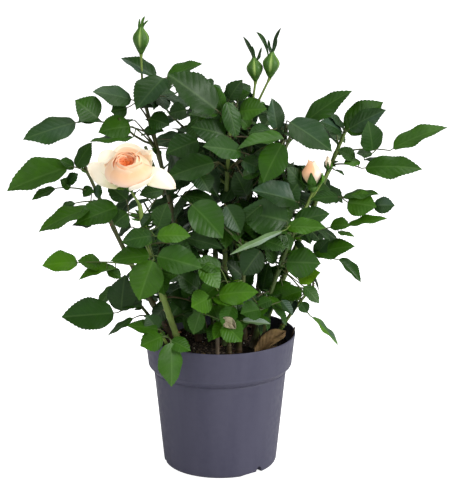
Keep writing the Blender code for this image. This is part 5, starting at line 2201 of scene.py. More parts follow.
class Room:
    """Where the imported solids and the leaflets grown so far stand."""

    def __init__(self, nodes: dict[str, bpy.types.Object]) -> None:
        """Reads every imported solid.

        Args:
            nodes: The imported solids, by name.
        """
        self.solids = {}
        for name, obj in nodes.items():
            points = [tuple(v.co) for v in obj.data.vertices]
            self.solids[name] = BVHTree.FromPolygons(points, [tuple(p.vertices) for p in obj.data.polygons])
        self.taken: list[tuple[Vector, float, BVHTree]] = []
        self.shown: list[Leaflet] = []

    def holds(self, node: str, leaflet: Leaflet) -> bool:
        """Whether a packed mass has this leaflet, so that the solids and the looks agree.

        Args:
            node: The mass's name.
            leaflet: The leaflet.

        Returns:
            Whether enough of its marks, in its middle, at its tip and round its rim, lie on the mass.
        """
        corners = [(along, across * hand) for along, across in LEAF_CORNERS for hand in (1, -1)]
        marks = [(LEAF_MIDDLE, 0), (1, 0), *corners]
        near = [self.solids[node].find_nearest(leaflet.at(*mark), MARK_REACH)[0] for mark in marks]
        return sum(spot is not None for spot in near) >= MARKS_NEEDED

    def is_free(self, leaflet: Leaflet, thickness: float = TRIED_PLATE) -> bool:
        """Whether a leaflet would touch no leaflet grown so far, nor pot, cane or flower.

        Args:
            leaflet: The leaflet.
            thickness: How thick it is taken to be.

        Returns:
            Whether it is free.
        """
        points, faces = leaflet.plate(thickness)
        tree = BVHTree.FromPolygons([tuple(p) for p in points], faces)
        middle, reach = leaflet.at(0.5, 0), leaflet.length * 0.6
        for spot, radius, other in self.taken:
            if (spot - middle).length < radius + reach and tree.overlap(other):
                return False
        hard = (other for name, other in self.solids.items() if not name.startswith("foliage_"))
        return not any(tree.overlap(other) for other in hard)

    def show(self, leaflet: Leaflet) -> None:
        """Takes a placed leaflet's place and keeps its view from the front free."""
        self.add(leaflet)
        self.shown.append(leaflet)

    def hides(self, leaflet: Leaflet) -> bool:
        """Whether a leaflet stands before a placed one.

        Args:
            leaflet: The leaflet.

        Returns:
            Whether it hides one.
        """
        middle, outline = leaflet.at(0.5, 0), leaflet.outline()
        for placed in self.shown:
            spot = placed.at(0.5, 0)
            reach = (placed.length + leaflet.length) * 0.7
            if middle.y < spot.y and abs(spot.x - middle.x) < reach and abs(spot.z - middle.z) < reach + 0.02:
                other = placed.outline()
                if any(is_inside(mark, other) for mark in outline) or any(is_inside(mark, outline) for mark in other):
                    return True
        return False

    def add(self, leaflet: Leaflet) -> None:
        """Takes the leaflet's place.

        Args:
            leaflet: The leaflet.
        """
        points, faces = leaflet.plate(KEPT_PLATE)
        tree = BVHTree.FromPolygons([tuple(p) for p in points], faces)
        self.taken.append((leaflet.at(0.5, 0), leaflet.length * 0.6, tree))


# ---------------------------------------------------------------- masses of foliage


@dataclass
class StemLines:
    """Lines of points that become round stems."""

    points: list[Vector] = field(default_factory=list)
    edges: list[tuple[int, int]] = field(default_factory=list)
    radii: list[float] = field(default_factory=list)
    greens: list[float] = field(default_factory=list)

    def add(self, path: list[Vector], radii: list[float], green: float) -> None:
        """Adds one stem along path.

        Args:
            path: Its points.
            radii: Its radius at each point.
            green: Its skin's colour, from woody brown (0) to fresh green (1).
        """
        start = len(self.points)
        self.points += path
        self.radii += radii
        self.greens += [green] * len(path)
        self.edges += [(start + i, start + i + 1) for i in range(len(path) - 1)]

    def build(self, name: str, tree: bpy.types.NodeTree, values: dict[str, Any]) -> bpy.types.Object:
        """Skins the lines.

        Args:
            name: The object's name.
            tree: The tree that skins them.
            values: The tree's inputs, by name.

        Returns:
            The object.
        """
        obj = object_from(name, self.points, self.edges, [])
        store(obj.data, "radius", self.radii)
        store(obj.data, "green", self.greens)
        return grown(obj, tree, values)


@dataclass
class LeafSpots:
    """Points that each become a leaflet, with the values that bend and colour it."""

    rows: list[dict[str, Any]] = field(default_factory=list)

    def add(self, leaflet: Leaflet, tone: Tone, shade: float, rng: random.Random, is_large: bool) -> None:
        """Adds a leaflet.

        Args:
            leaflet: Its place and size.
            tone: Its spray's tone.
            shade: How much lighter its spray is than its tone, painted light on the crown's outer leaves included.
            rng: The stream of random numbers for fine variation.
            is_large: Whether it gets the finer blade.
        """
        green, grey = tone.value
        self.rows.append(
            {
                "root": leaflet.base, "way": leaflet.way, "face": leaflet.face, "length": leaflet.length,
                "width": leaflet.width, "arch": LEAF_ARCH + rng.uniform(-0.05, 0.05),
                "fold": LEAF_FOLD + rng.uniform(-0.04, 0.26), "curl": rng.uniform(-0.05, 0.45),
                "twist": rng.uniform(-0.35, 0.35), "sway": rng.uniform(-0.06, 0.06), "quilt": rng.uniform(0.0, 0.85),
                # tone includes the painted light in shade; grey sets the blade's painted grey sheen, and half the side
                # of it that gets painted shade.
                "phase": rng.uniform(0, 6.28), "tone": min(max(green + shade + rng.uniform(-0.05, 0.05), 0.0), 1.0),
                "grey": min(max(grey + rng.uniform(-0.1, 0.1), 0.0), 1.0), "large": float(is_large),
                "half": rng.uniform(-1.0, 1.0),
            }
        )

    def build(
        self, name: str, trees: GrowingTrees, upper: bpy.types.Material, under: bpy.types.Material,
    ) -> bpy.types.Object:
        """Spreads the leaflets.

        Args:
            name: The object's name.
            trees: The geometry trees.
            upper: The upper side's material.
            under: The underside's material.

        Returns:
            The object.
        """
        obj = object_from(name, [row["root"] for row in self.rows], [], [])
        for key in self.rows[0]:
            kind = "FLOAT_VECTOR" if isinstance(self.rows[0][key], Vector) else "FLOAT"
            store(obj.data, key, [row[key] for row in self.rows], kind)
        values = {
            "Large Blade": trees.large_blade, "Small Blade": trees.small_blade, "Upper": upper, "Underside": under,
        }
        return grown(obj, trees.leaves, values)


class Foliage:
    """All canes and their masses of foliage."""

    # Swells and flares are shares of the radius, and what they reach are shares of the cane's length.
    SHOOT_STEPS = 28
    JOINT_SWELL = 0.3
    JOINT_REACH = 0.012
    CANE_STEPS = 40
    CANE_JOINTS = 4
    NODE_SWELL = 0.16
    NODE_REACH = 0.01
    FOOT_FLARE = 0.35
    FLARE_FALL = 14
    PRICKLE_SPACING = 11 * MM
    PRICKLE_LENGTH = 4 * MM
    STALK_STEPS = 9
    STALK_GREEN = (0.25, 0.65)
    LEAFLET_STALK = 0.5 * MM
    FINE_BLADE = 25 * MM
    STIPULE_MM = (6.5, 9)
    STIPULE_WIDTH = 0.34

    def __init__(self, palette: Palette, trees: GrowingTrees, room: Room) -> None:
        """Keeps what the masses are made with.

        Args:
            palette: The materials.
            trees: The geometry trees.
            room: The room that is taken so far.
        """
        self.palette = palette
        self.trees = trees
        self.room = room
        self.growths: dict[str, list[Growth]] = {cane.name: [] for cane in CANES}
        self.twigs: dict[str, list[list[Vector]]] = {cane.name: [] for cane in CANES}

    def build(self) -> None:
        """Grows all leaves, the placed ones first, and then dresses every cane and its mass."""
        rule = GrowthRule()
        for cane in CANES:
            for growth in rule.placed(cane):
                self.growths[cane.name].append(growth)
                for leaf in growth.leaflets:
                    self.room.show(leaf)
        for index, cane in enumerate(CANES):
            rng, fine = random.Random(RULE_SEED + index), random.Random(FINE_SEED + index)
            for growth in rule.filled(cane, rng):
                self._keep(cane, growth, fine, True)
            for path, leaves in rule.twigs(cane, rng):
                node = self.room.solids["foliage_" + cane.name]
                if node.find_nearest(path[-1], 1.2 * MM)[0] is not None and is_covered(path[-1]):
                    self.twigs[cane.name].append(path)
                    for growth in leaves:
                        self._keep(cane, growth, fine, True)
        for index, cane in enumerate(CANES):
            fine = random.Random(FINE_SEED - 1 - index)
            for growth in rule.finer(cane, FINE_TRIES * cane.fill, fine):
                self._keep(cane, growth, fine, False)
        for index, cane in enumerate(CANES):
            self._mass(cane, random.Random(FINE_SEED * 2 + index))
            self._bare_cane(cane)
        LOG.info("leaflets: %d", len(self.room.taken))

    def _keep(self, cane: Cane, growth: Growth, fine: random.Random, is_packed: bool) -> None:
        """Keeps a leaf of the rule that starts in the crown, with its stalk's knee covered.

        Its leaflets have to be covered and free, and packed if they should be.

        Args:
            cane: The cane that it grows from.
            growth: The leaf.
            fine: The stream of random numbers for fine variation.
            is_packed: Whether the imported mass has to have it.
        """
        tone = fine.choice(cane.tones)
        node = "foliage_" + cane.name
        if not is_in_crown(growth.leaflets[0].base) or not is_covered(growth.stalk[1]):
            return
        kept = []
        for leaf in growth.leaflets:
            shown = all(is_covered(leaf.at(*mark)) for mark in ((0.5, 0), (0.95, 0), (0.4, 0.4), (0.4, -0.4)))
            shown = shown and not self.room.hides(leaf)
            if shown and (not is_packed or self.room.holds(node, leaf)) and self.room.is_free(leaf):
                kept.append(leaf)
            elif leaf is growth.leaflets[0]:
                return
        for leaf in kept:
            self.room.add(leaf)
        growth.leaflets, growth.tones = kept, [tone] * len(kept)
        self.growths[cane.name].append(growth)

    def _mass(self, cane: Cane, fine: random.Random) -> None:
        """A cane's mass: its leafy end, side twigs, stalks and leaflets.

        Args:
            cane: The cane.
            fine: The stream of random numbers for fine variation.
        """
        stems, spots = StemLines(), LeafSpots()
        self._shoot(cane, stems)
        thick, thin = TWIG_RADII
        radii = [thick + (thin - thick) * k / (TWIG_RINGS - 1) for k in range(TWIG_RINGS)]
        for path in self.twigs[cane.name]:
            stems.add(path, radii, cane.green)
        for growth in self.growths[cane.name]:
            self._dress(growth, stems, spots, fine)
        node = "foliage_" + cane.name
        place(stems.build("stems_" + cane.name, self.trees.stems, self.palette.skins(6, 0.06)), "cane_bark", node)
        leaves = spots.build("leaves_" + cane.name, self.trees, self.palette.leaf_upper, self.palette.leaf_under)
        place(leaves, "foliage", node)

    def _shoot(self, cane: Cane, stems: StemLines) -> None:
        """The cane's leafy end, swollen where its leaves leave it.

        Args:
            cane: The cane.
            stems: The lines that it is added to.
        """
        first = cane.share(cane.leafy_from * MM)
        shares = [first + (1 - first) * i / self.SHOOT_STEPS for i in range(self.SHOOT_STEPS + 1)]
        joints = [cane.share(s.height * MM) for s in SPRAYS if s.cane == cane.name]
        radii = []
        for share in shares:
            near = min((abs(share - joint) for joint in joints), default=1.0)
            radii.append(cane.radius(share) * (1 + self.JOINT_SWELL * math.exp(-((near / self.JOINT_REACH) ** 2))))
        stems.add([cane.point(share) for share in shares], radii, cane.green)

    def _bare_cane(self, cane: Cane) -> None:
        """The bare lower cane, flared at its foot, with prickles.

        Args:
            cane: The cane.
        """
        entry = cane.share(cane.leafy_from * MM)
        count, knots = self.CANE_STEPS, self.CANE_JOINTS
        shares = [entry * i / count for i in range(count + 1)]
        rng = random.Random(cane.name)
        joints = [entry * (k + rng.uniform(0.2, 0.8)) / knots for k in range(knots)]
        radii = []
        for share in shares:
            swell = self.NODE_SWELL * sum(math.exp(-(((share - joint) / self.NODE_REACH) ** 2)) for joint in joints)
            flare = self.FOOT_FLARE * math.exp(-share / max(entry, 0.01) * self.FLARE_FALL)
            radii.append(cane.radius(share) * (1 + swell + flare))
        lines = StemLines()
        lines.add([cane.point(share) for share in shares], radii, cane.green)
        fresh = cane.green**2
        lines.greens = [cane.green * (fresh + (1 - fresh) * ease(i / count, 0.0, 0.5)) for i in range(count + 1)]
        prickles = {
            "Prickle Spacing": self.PRICKLE_SPACING, "Prickle Length": self.PRICKLE_LENGTH, "Seed": len(cane.name),
        }
        values = self.palette.skins(14, 0.3) | prickles
        place(lines.build("bark_" + cane.name, self.trees.stems, values), "cane_bark", "cane_" + cane.name)

    def _dress(self, growth: Growth, stems: StemLines, spots: LeafSpots, fine: random.Random) -> None:
        """Adds a leaf's stalk, the short stalks of its leaflets, its stipules and its leaflets.

        Args:
            growth: The leaf.
            stems: The lines that its stalks are added to.
            spots: The points that its leaflets are added to.
            fine: The stream of random numbers for fine variation.
        """
        woody, fresh = self.STALK_GREEN
        green = woody + fresh * growth.tones[0].value[0]
        steps = self.STALK_STEPS
        path = [bow(*growth.stalk, k / steps) for k in range(steps + 1)]
        radii = [(0.9 - 0.4 * k / steps) * MM for k in range(steps + 1)]
        radii[0] *= 1.5
        stems.add(path, radii, green)
        # A random shift of the spray's tone, plus painted light: up to 0.1 lighter on leaves that stand out 75 to 125
        # mm and more from the axis.
        shade = fine.uniform(-0.06, 0.06) + 0.1 * ease(growth.stalk[2].xy.length, 75 * MM, 125 * MM)
        for index, (leaf, tone) in enumerate(zip(growth.leaflets, growth.tones)):
            gap = (0.045 if index else 0.06) * leaf.length
            foot = leaf.base + leaf.way * gap
            near = min(path, key=lambda spot: (spot - leaf.base).length)
            stems.add([near, near + (foot - near) * 0.6, foot + leaf.way * MM], [self.LEAFLET_STALK] * 3, green)
            roll = Matrix.Rotation(math.radians(fine.gauss(0, 6)), 3, leaf.way)
            blade = Leaflet(foot, leaf.way, roll @ leaf.face, leaf.length - gap, leaf.width * BROADER)
            spots.add(blade, tone, shade, fine, leaf.length > self.FINE_BLADE)
        self._stipules(growth, spots, shade, fine)

    def _stipules(self, growth: Growth, spots: LeafSpots, shade: float, fine: random.Random) -> None:
        """The two narrow wings at the foot of the stalk.

        Args:
            growth: The leaf.
            spots: The points that they are added to.
            shade: How much lighter the leaf is than its tone, painted light on the crown's outer leaves included.
            fine: The stream of random numbers for fine variation.
        """
        start, knee, _ = growth.stalk
        along = (knee - start).normalized()
        face = unit_across(along, growth.leaflets[0].face)
        side = face.cross(along)
        for hand in (1, -1):
            way = (along + side * hand * 0.35).normalized()
            root = start + along * 1.5 * MM + side * hand * 0.4 * MM
            size = fine.uniform(*self.STIPULE_MM) * MM
            wing = Leaflet(root, way, unit_across(way, face), size, size * self.STIPULE_WIDTH)
            spots.add(wing, growth.tones[0], shade + 0.15, fine, False)


# ---------------------------------------------------------------- flowers


@dataclass
class Pods:
    """Closed round bodies with five seams, such as green buds and hips, gathered into one mesh."""

    sides: int = 40
    points: list[Vector] = field(default_factory=list)
    faces: list[tuple] = field(default_factory=list)
    greens: list[float] = field(default_factory=list)
    seams: list[float] = field(default_factory=list)

    SEAMS = 5
    RIDGE = 0.07
    SUNK = 0.03
    FRONT_SEAM = (0.35, 0.65)
    RIDGE_GREEN = (0.72, 0.28)

    def add(self, base: Vector, axis: Vector, stations: tuple, scale: tuple[float, float], seam_deg: float) -> None:
        """Adds a body.

        Args:
            base: Its foot, in metres.
            axis: Its axis.
            stations: Shares of (radius, height, green, seam) from its foot to its tip.
            scale: Its radius and its height, in mm.
            seam_deg: The bearing of its widest seam.
        """
        across, other = axis_frame(axis)
        shares = [(r * scale[0], h * scale[1]) for r, h, _, _ in stations]
        points, faces = lathe(shares, self.sides)
        start = len(self.points)
        for index, point in enumerate(points):
            ring = 0 if not index else min((index - 1) // self.sides + 1, len(stations) - 1)
            turn = math.atan2(point.y, point.x) - math.radians(seam_deg)
            gap = abs((turn * self.SEAMS / (2 * math.pi) + 0.5) % 1 - 0.5) * 2
            _, _, green, seam = stations[ring]
            ridge = 1 + self.RIDGE * ease(gap, 0.0, 0.6) * (seam > 0) - self.SUNK
            place_out = (across * point.x + other * point.y) * ridge
            self.points.append(base + (place_out + axis * point.z) * MM)
            front = self.FRONT_SEAM[0] + self.FRONT_SEAM[1] * max(math.cos(turn), 0.0) ** 2
            self.seams.append(seam * front * (1 - ease(gap, 0.04, 0.3)))
            self.greens.append(green * (self.RIDGE_GREEN[0] + self.RIDGE_GREEN[1] * (1 - gap)))
        self.faces += [tuple(start + k for k in face) for face in faces]

    def build(self, name: str, surface: bpy.types.Material) -> bpy.types.Object:
        """Makes the bodies one object.

        Args:
            name: The object's name.
            surface: Their material.

        Returns:
            The object.
        """
        obj = object_from(name, self.points, [], self.faces)
        store(obj.data, "green", self.greens)
        store(obj.data, "seam", self.seams)
        obj.data.materials.append(surface)
        obj.data.shade_smooth()
        return obj


# Shares of (radius, height, green, seam) of a closed bud and of the hip under open petals.
BUD_STATIONS = (
    (0, 0, 0.5, 0), (0.22, 0.0, 0.5, 0), (0.40, 0.07, 0.55, 0), (0.56, 0.15, 0.5, 0), (0.63, 0.20, 0.2, 0),
    (0.68, 0.23, 0.4, 0.1), (0.82, 0.31, 0.5, 0.5), (0.94, 0.40, 0.55, 0.8), (1.0, 0.49, 0.6, 0.9),
    (0.96, 0.57, 0.6, 0.9), (0.82, 0.65, 0.65, 0.9), (0.61, 0.73, 0.7, 0.8), (0.43, 0.80, 0.7, 0.6),
    (0.29, 0.87, 0.7, 0.4), (0.20, 0.94, 0.6, 0.2), (0, 1.0, 0.6, 0),
)
HIP_STATIONS = (
    (0, -0.1, 0.5, 0), (0.34, -0.1, 0.5, 0), (0.62, 0.1, 0.6, 0), (0.88, 0.35, 0.6, 0), (1.0, 0.6, 0.6, 0),
    (0.96, 0.82, 0.5, 0), (0.78, 1.0, 0.4, 0), (0, 1.05, 0.4, 0),
)


@dataclass
class Flowers:
    """The open bloom, the opening buds and the green buds."""

    palette: Palette
    trees: GrowingTrees
    bloom_cane: str = "front_left"
    bloom_base: tuple = (-73, -62, 259)
    bloom_axis: tuple = (-0.08, -0.45, 0.89)
    bloom_radius: float = 19.5
    bloom_depth: float = 34
    hip_share: float = 0.3
    hip_size: tuple = (4.4, 11.0)
    first_turn: float = 20.0
    ring_turn: float = 137.5
    ring_spiral: float = 1.3
    petal_thickness: float = 0.3 * MM
    sepal_thickness: float = 0.4 * MM
    sepal_count: int = 5
    rings: tuple = (
        (5, 1.00, 0.94, 1.10, 0.42, 0.38, 0.85), (5, 0.89, 1.02, 1.05, 0.50, 0.44, 0.4),
        (5, 0.75, 0.99, 1.05, 0.48, 0.50, 0.0), (5, 0.60, 0.93, 1.0, 0.34, 0.60, 0.0),
        (5, 0.46, 0.88, 1.0, 0.26, 0.74, 0.0), (5, 0.33, 0.84, 1.1, 0.18, 0.88, 0.0),
        (4, 0.20, 0.81, 1.2, 0.1, 1.0, 0.0), (3, 0.09, 0.79, 1.5, 0.0, 1.0, 0.0),
    )
    guards: tuple[Patch, ...] = (
        Patch((-64, -66, 272), (-51, -68, 276.5), (-36, -72, 263), 18, -0.2, (0.2, -0.8, 0.6), 0.0, Outline.POINTED),
        Patch((-79, -62, 267), (-99, -60, 269), (-106, -57, 281.5), 22, 0.3, (0.5, -0.8, 0.35), 0.0, Outline.PETAL),
        Patch((-77, -58, 268), (-92, -47, 279), (-95, -47, 290), 27, 0.3, (0.25, -0.85, 0.3), 0.0, Outline.PETAL),
        Patch((-73, -57, 268), (-76, -47, 283), (-78, -49, 292.5), 41, 0.35, (0.0, -0.9, 0.3), 0.34, Outline.PETAL),
        Patch((-73, -55, 268), (-77, -42, 284), (-80, -43, 294.5), 46, 0.3, (0.0, -0.9, 0.3), 0.0, Outline.PETAL),
        Patch((-66, -58, 270), (-62, -50, 282), (-62, -52, 291), 22, 0.3, (-0.4, -0.8, 0.3), 0.05, Outline.PETAL),
    )
    skirt: tuple[Whorl, ...] = (Whorl(-52, 20.4, 14.5, 0.62, -0.12, 0.0, 0.3, 0.5, 0.0, 0.0, 0.2),)

    def build(self) -> None:
        """Builds and places every flower."""
        self._bloom()
        for name, (cane_name, heads) in BUDS.items():
            self._buds(name, cane_name, heads)

    def _stalk(self, cane_name: str, end: Vector, lines: StemLines) -> None:
        """A flower's stalk, from its cane's tip into its hip.

        Args:
            cane_name: The cane that it grows from.
            end: Where it enters the hip.
            lines: The lines that it is added to.
        """
        cane = next(c for c in CANES if c.name == cane_name)
        start = cane.point(1.0)
        path = [start + (end - start) * k / 8 for k in range(9)]
        low, high = FLOWER_STALK_RADII
        radii = [(low + (high - low) * k / 8) * MM for k in range(9)]
        radii[0], radii[-1] = cane.radius(1.0), 1.7 * MM
        lines.add(path, radii, 0.85)

    def _place_stalks(self, name: str, lines: StemLines, node: str) -> None:
        """Skins a flower's stalks."""
        place(lines.build(name, self.trees.stems, self.palette.skins(10, 0.06)), "cane_bark", node)

    def _bloom(self) -> None:
        """The open bloom: guard petals, a cup, and petals that whirl in to the heart."""
        base, axis = Vector(self.bloom_base) * MM, Vector(self.bloom_axis).normalized()
        rng = random.Random(FINE_SEED)
        sheets, sepals, pods = Sheets(self.petal_thickness), Sheets(self.sepal_thickness), Pods()
        hip = base + axis * self.bloom_depth * self.hip_share * MM
        for petal in self.guards:
            sheets.petal(petal.grid(14, 14, 0.7), petal.tint, 0.0)
        for petal in self.skirt:
            sheets.petal(petal.grid(hip, axis, rng.uniform(0, 6)), petal.tint, petal.pink)
        depth, turn = self.bloom_depth * (1 - self.hip_share), self.first_turn
        for count, radius, height, wrap, curl, tint, pink in self.rings:
            turn += self.ring_turn
            for k in range(count):
                petal = Whorl(
                    turn + 360 * k / count + rng.uniform(-9, 9), self.bloom_radius * radius * rng.uniform(0.96, 1.03),
                    depth * height * rng.uniform(0.96, 1.02), wrap, curl, tint + rng.uniform(-0.05, 0.05), pink,
                    self.ring_spiral,
                )
                sheets.petal(petal.grid(hip, axis, rng.uniform(0, 6)), petal.tint, petal.pink)
        place(sheets.build("bloom_petals", self.palette.petal), "blossom", "open_bloom")
        pods.add(base, axis, HIP_STATIONS, self.hip_size, 0.0)
        place(pods.build("bloom_hip", self.palette.bud), "cane_bark", "open_bloom")
        for k in range(self.sepal_count):
            sepal = Whorl(72 * k + 20, 13.5, 6.0, 0.3, -0.25, spiral=0.0, point=0.95, waist=0.25)
            # The sepals' grey is a slight painted grey sheen.
            sepals.add(*sepal.grid(hip - axis * 1.2 * MM, axis, k), tone=0.7, grey=0.1)
        place(sepals.build("bloom_sepals", self.palette.leaf_upper), "foliage", "open_bloom")
        lines = StemLines()
        self._stalk(self.bloom_cane, base, lines)
        self._place_stalks("bloom_stalk", lines, "open_bloom")

    def _buds(self, name: str, cane_name: str, heads: tuple[Head, ...]) -> None:
        """A group of buds on their stalks.

        Args:
            name: The solid that they stand for.
            cane_name: The cane that they grow from.
            heads: The buds.
        """
        lines, pods, petals, sepals = StemLines(), Pods(), Sheets(self.petal_thickness), Sheets(self.sepal_thickness)
        for head in heads:
            base, tip = Vector(head.base) * MM, Vector(head.tip) * MM
            axis, length = (tip - base).normalized(), (tip - base).length / MM
            self._stalk(cane_name, base, lines)
            for patch in head.sepals:
                # The sepals' grey is a painted grey sheen.
                sepals.add(*patch.grid(12, 4, 0.3), tone=patch.tint, grey=0.3)
            if not head.petals:
                pods.add(base, axis, BUD_STATIONS, (head.radius, length), head.seam_deg)
                continue
            foot = base + axis * length * 0.17 * MM
            pods.add(base, axis, HIP_STATIONS, (head.radius * 0.5, length * 0.22), 0.0)
            for k, petal in enumerate(head.petals):
                petals.petal(petal.grid(foot, axis, k * 1.7), petal.tint, petal.pink)
            for k in range(self.sepal_count):
                sepal = Whorl(
                    72 * k - 95, head.radius * 1.22, length * (0.46 if k % 2 else 0.54), 0.6, 0.12, spiral=0.0,
                    point=0.93,
                )
                # The sepals' grey is a slight painted grey sheen.
                sepals.add(*sepal.grid(foot - axis * MM, axis, 2.0), tone=0.7 if k == 1 else 0.35, grey=0.1)
        if petals.points:
            place(petals.build(name + "_petals", self.palette.petal), "blossom", name)
        place(sepals.build(name + "_sepals", self.palette.leaf_upper), "flower_bud", name)
        place(pods.build(name + "_pods", self.palette.bud), "flower_bud", name)
        self._place_stalks(name + "_stalks", lines, name)


# ---------------------------------------------------------------- pot and soil


@dataclass
class NurseryPot:
    """The pot: a deep rim over a shoulder, a tapering body, a rounded foot with drain notches."""

    palette: Palette
    height: float = 118
    rim_radius: float = 65
    rim_foot_radius: float = 62
    rim_depth: float = 27
    shoulder: float = 6
    body_top: float = 57.2
    body_foot: float = 49
    base_radius: float = 43.5
    corner: float = 5.5
    wall: float = 1.4
    floor: float = 2
    sides: int = 144
    drains: int = 3
    first_drain_deg: float = -53
    drain_width: float = 24
    drain_height: float = 3
    arch_shift_deg: float = 6.5
    arch_width: float = 7
    arch_height: float = 7.4
    drain_from: float = 37.5
    arch_from: float = 44
    drain_to: float = 60
    drain_steps: int = 16
    sharp_deg: float = 48

    def profile(self) -> list[tuple[float, float]]:
        """The pot's section in mm, up the outside and down the inside, with its moulded edges.

        Returns:
            Pairs of (radius, height).
        """
        rim, foot, body, top = self.rim_radius, self.rim_foot_radius, self.body_top, self.height
        step_high = top - self.rim_depth
        step_low = step_high - self.shoulder
        outside = [(0, 1.2), (self.base_radius - 9, 1.2), (self.base_radius - 7.4, 0), (self.base_radius, 0)]
        for step in range(1, 7):
            angle = math.pi / 2 * step / 6
            radius = self.base_radius + (self.body_foot - self.base_radius) * math.sin(angle)
            outside.append((radius, self.corner * (1 - math.cos(angle))))
        for step in range(1, 9):
            share = step / 9
            radius = self.body_foot + (body - self.body_foot) * share
            outside.append((radius, self.corner + (step_low - self.corner) * share))
        outside += [
            (body, step_low - 1.0), (body - 0.1, step_low - 0.6), (body - 0.4, step_low - 0.25),
            (body - 0.4, step_low + 0.25), (body + 0.5, step_low + 0.6), (foot - 2.0, step_high - 2.6),
            (foot - 0.7, step_high - 1.4), (foot - 0.1, step_high - 0.3), (foot + 0.05, step_high + 0.7),
            (foot - 0.05, step_high + 1.0), (foot + 0.1, step_high + 1.5), (foot + 1.3, step_high + 12),
            (rim - 0.35, top - 3.2), (rim - 0.05, top - 1.6), (rim, top - 0.8), (rim - 0.2, top - 0.2),
            (rim - 0.7, top),
        ]
        inside = [
            (rim - self.wall + 0.1, top - 0.25), (rim - self.wall - 0.1, top - 1.2), (foot - self.wall, step_high + 1),
            (body - self.wall, step_low + 1), (self.body_foot - self.wall, self.corner + 1),
            (self.base_radius - self.wall, self.floor), (0, self.floor),
        ]
        return outside + inside

    def build(self) -> None:
        """Builds, cuts and places the pot."""
        points, faces = lathe([(r * MM, z * MM) for r, z in self.profile()], self.sides)
        obj = object_from("nursery_pot", points, [], faces)
        cutters = []
        for i in range(self.drains):
            turn = math.radians(self.first_drain_deg) + 2 * math.pi * i / self.drains
            cutters.append(self._notch(turn, self.drain_width, self.drain_height, self.drain_from))
            turn += math.radians(self.arch_shift_deg)
            cutters.append(self._notch(turn, self.arch_width, self.arch_height, self.arch_from))
        for cutter in cutters:
            modifier = obj.modifiers.new(cutter.name, "BOOLEAN")
            modifier.operation = "DIFFERENCE"
            modifier.solver = "MANIFOLD"
            modifier.object = cutter
        flattened(obj)
        for cutter in cutters:
            bpy.data.objects.remove(cutter)
        obj.data.materials.clear()
        obj.data.materials.append(self.palette.plastic)
        obj.data.shade_smooth()
        obj.data.set_sharp_from_angle(angle=math.radians(self.sharp_deg))
        place(obj, "pot_plastic", "pot")

    def _notch(self, angle: float, width: float, height: float, start: float) -> bpy.types.Object:
        """The cutter for a notch or an arch, in mm, from the radius start out through the foot.

        Args:
            angle: Its bearing, in radians.
            width: Its width.
            height: Its height.
            start: The radius that it starts at.

        Returns:
            The cutter.
        """
        outward = Vector((math.cos(angle), math.sin(angle), 0))
        side = UP.cross(outward)
        rows = []
        for radius in (start, self.drain_to):
            row = []
            for step in range(self.drain_steps + 1):
                turn = math.pi * step / self.drain_steps
                rise = height * math.sin(turn) ** 0.8
                row.append((outward * radius + side * math.cos(turn) * width / 2 + UP * rise) * MM)
            row += [row[-1] - UP * 4 * MM, row[0] - UP * 4 * MM]
            rows.append(row)
        count = len(rows[0])
        faces = [(k, (k + 1) % count, count + (k + 1) % count, count + k) for k in range(count)]
        faces += [tuple(reversed(range(count))), tuple(range(count, 2 * count))]
        return object_from("drain_cutter", rows[0] + rows[1], [], faces)


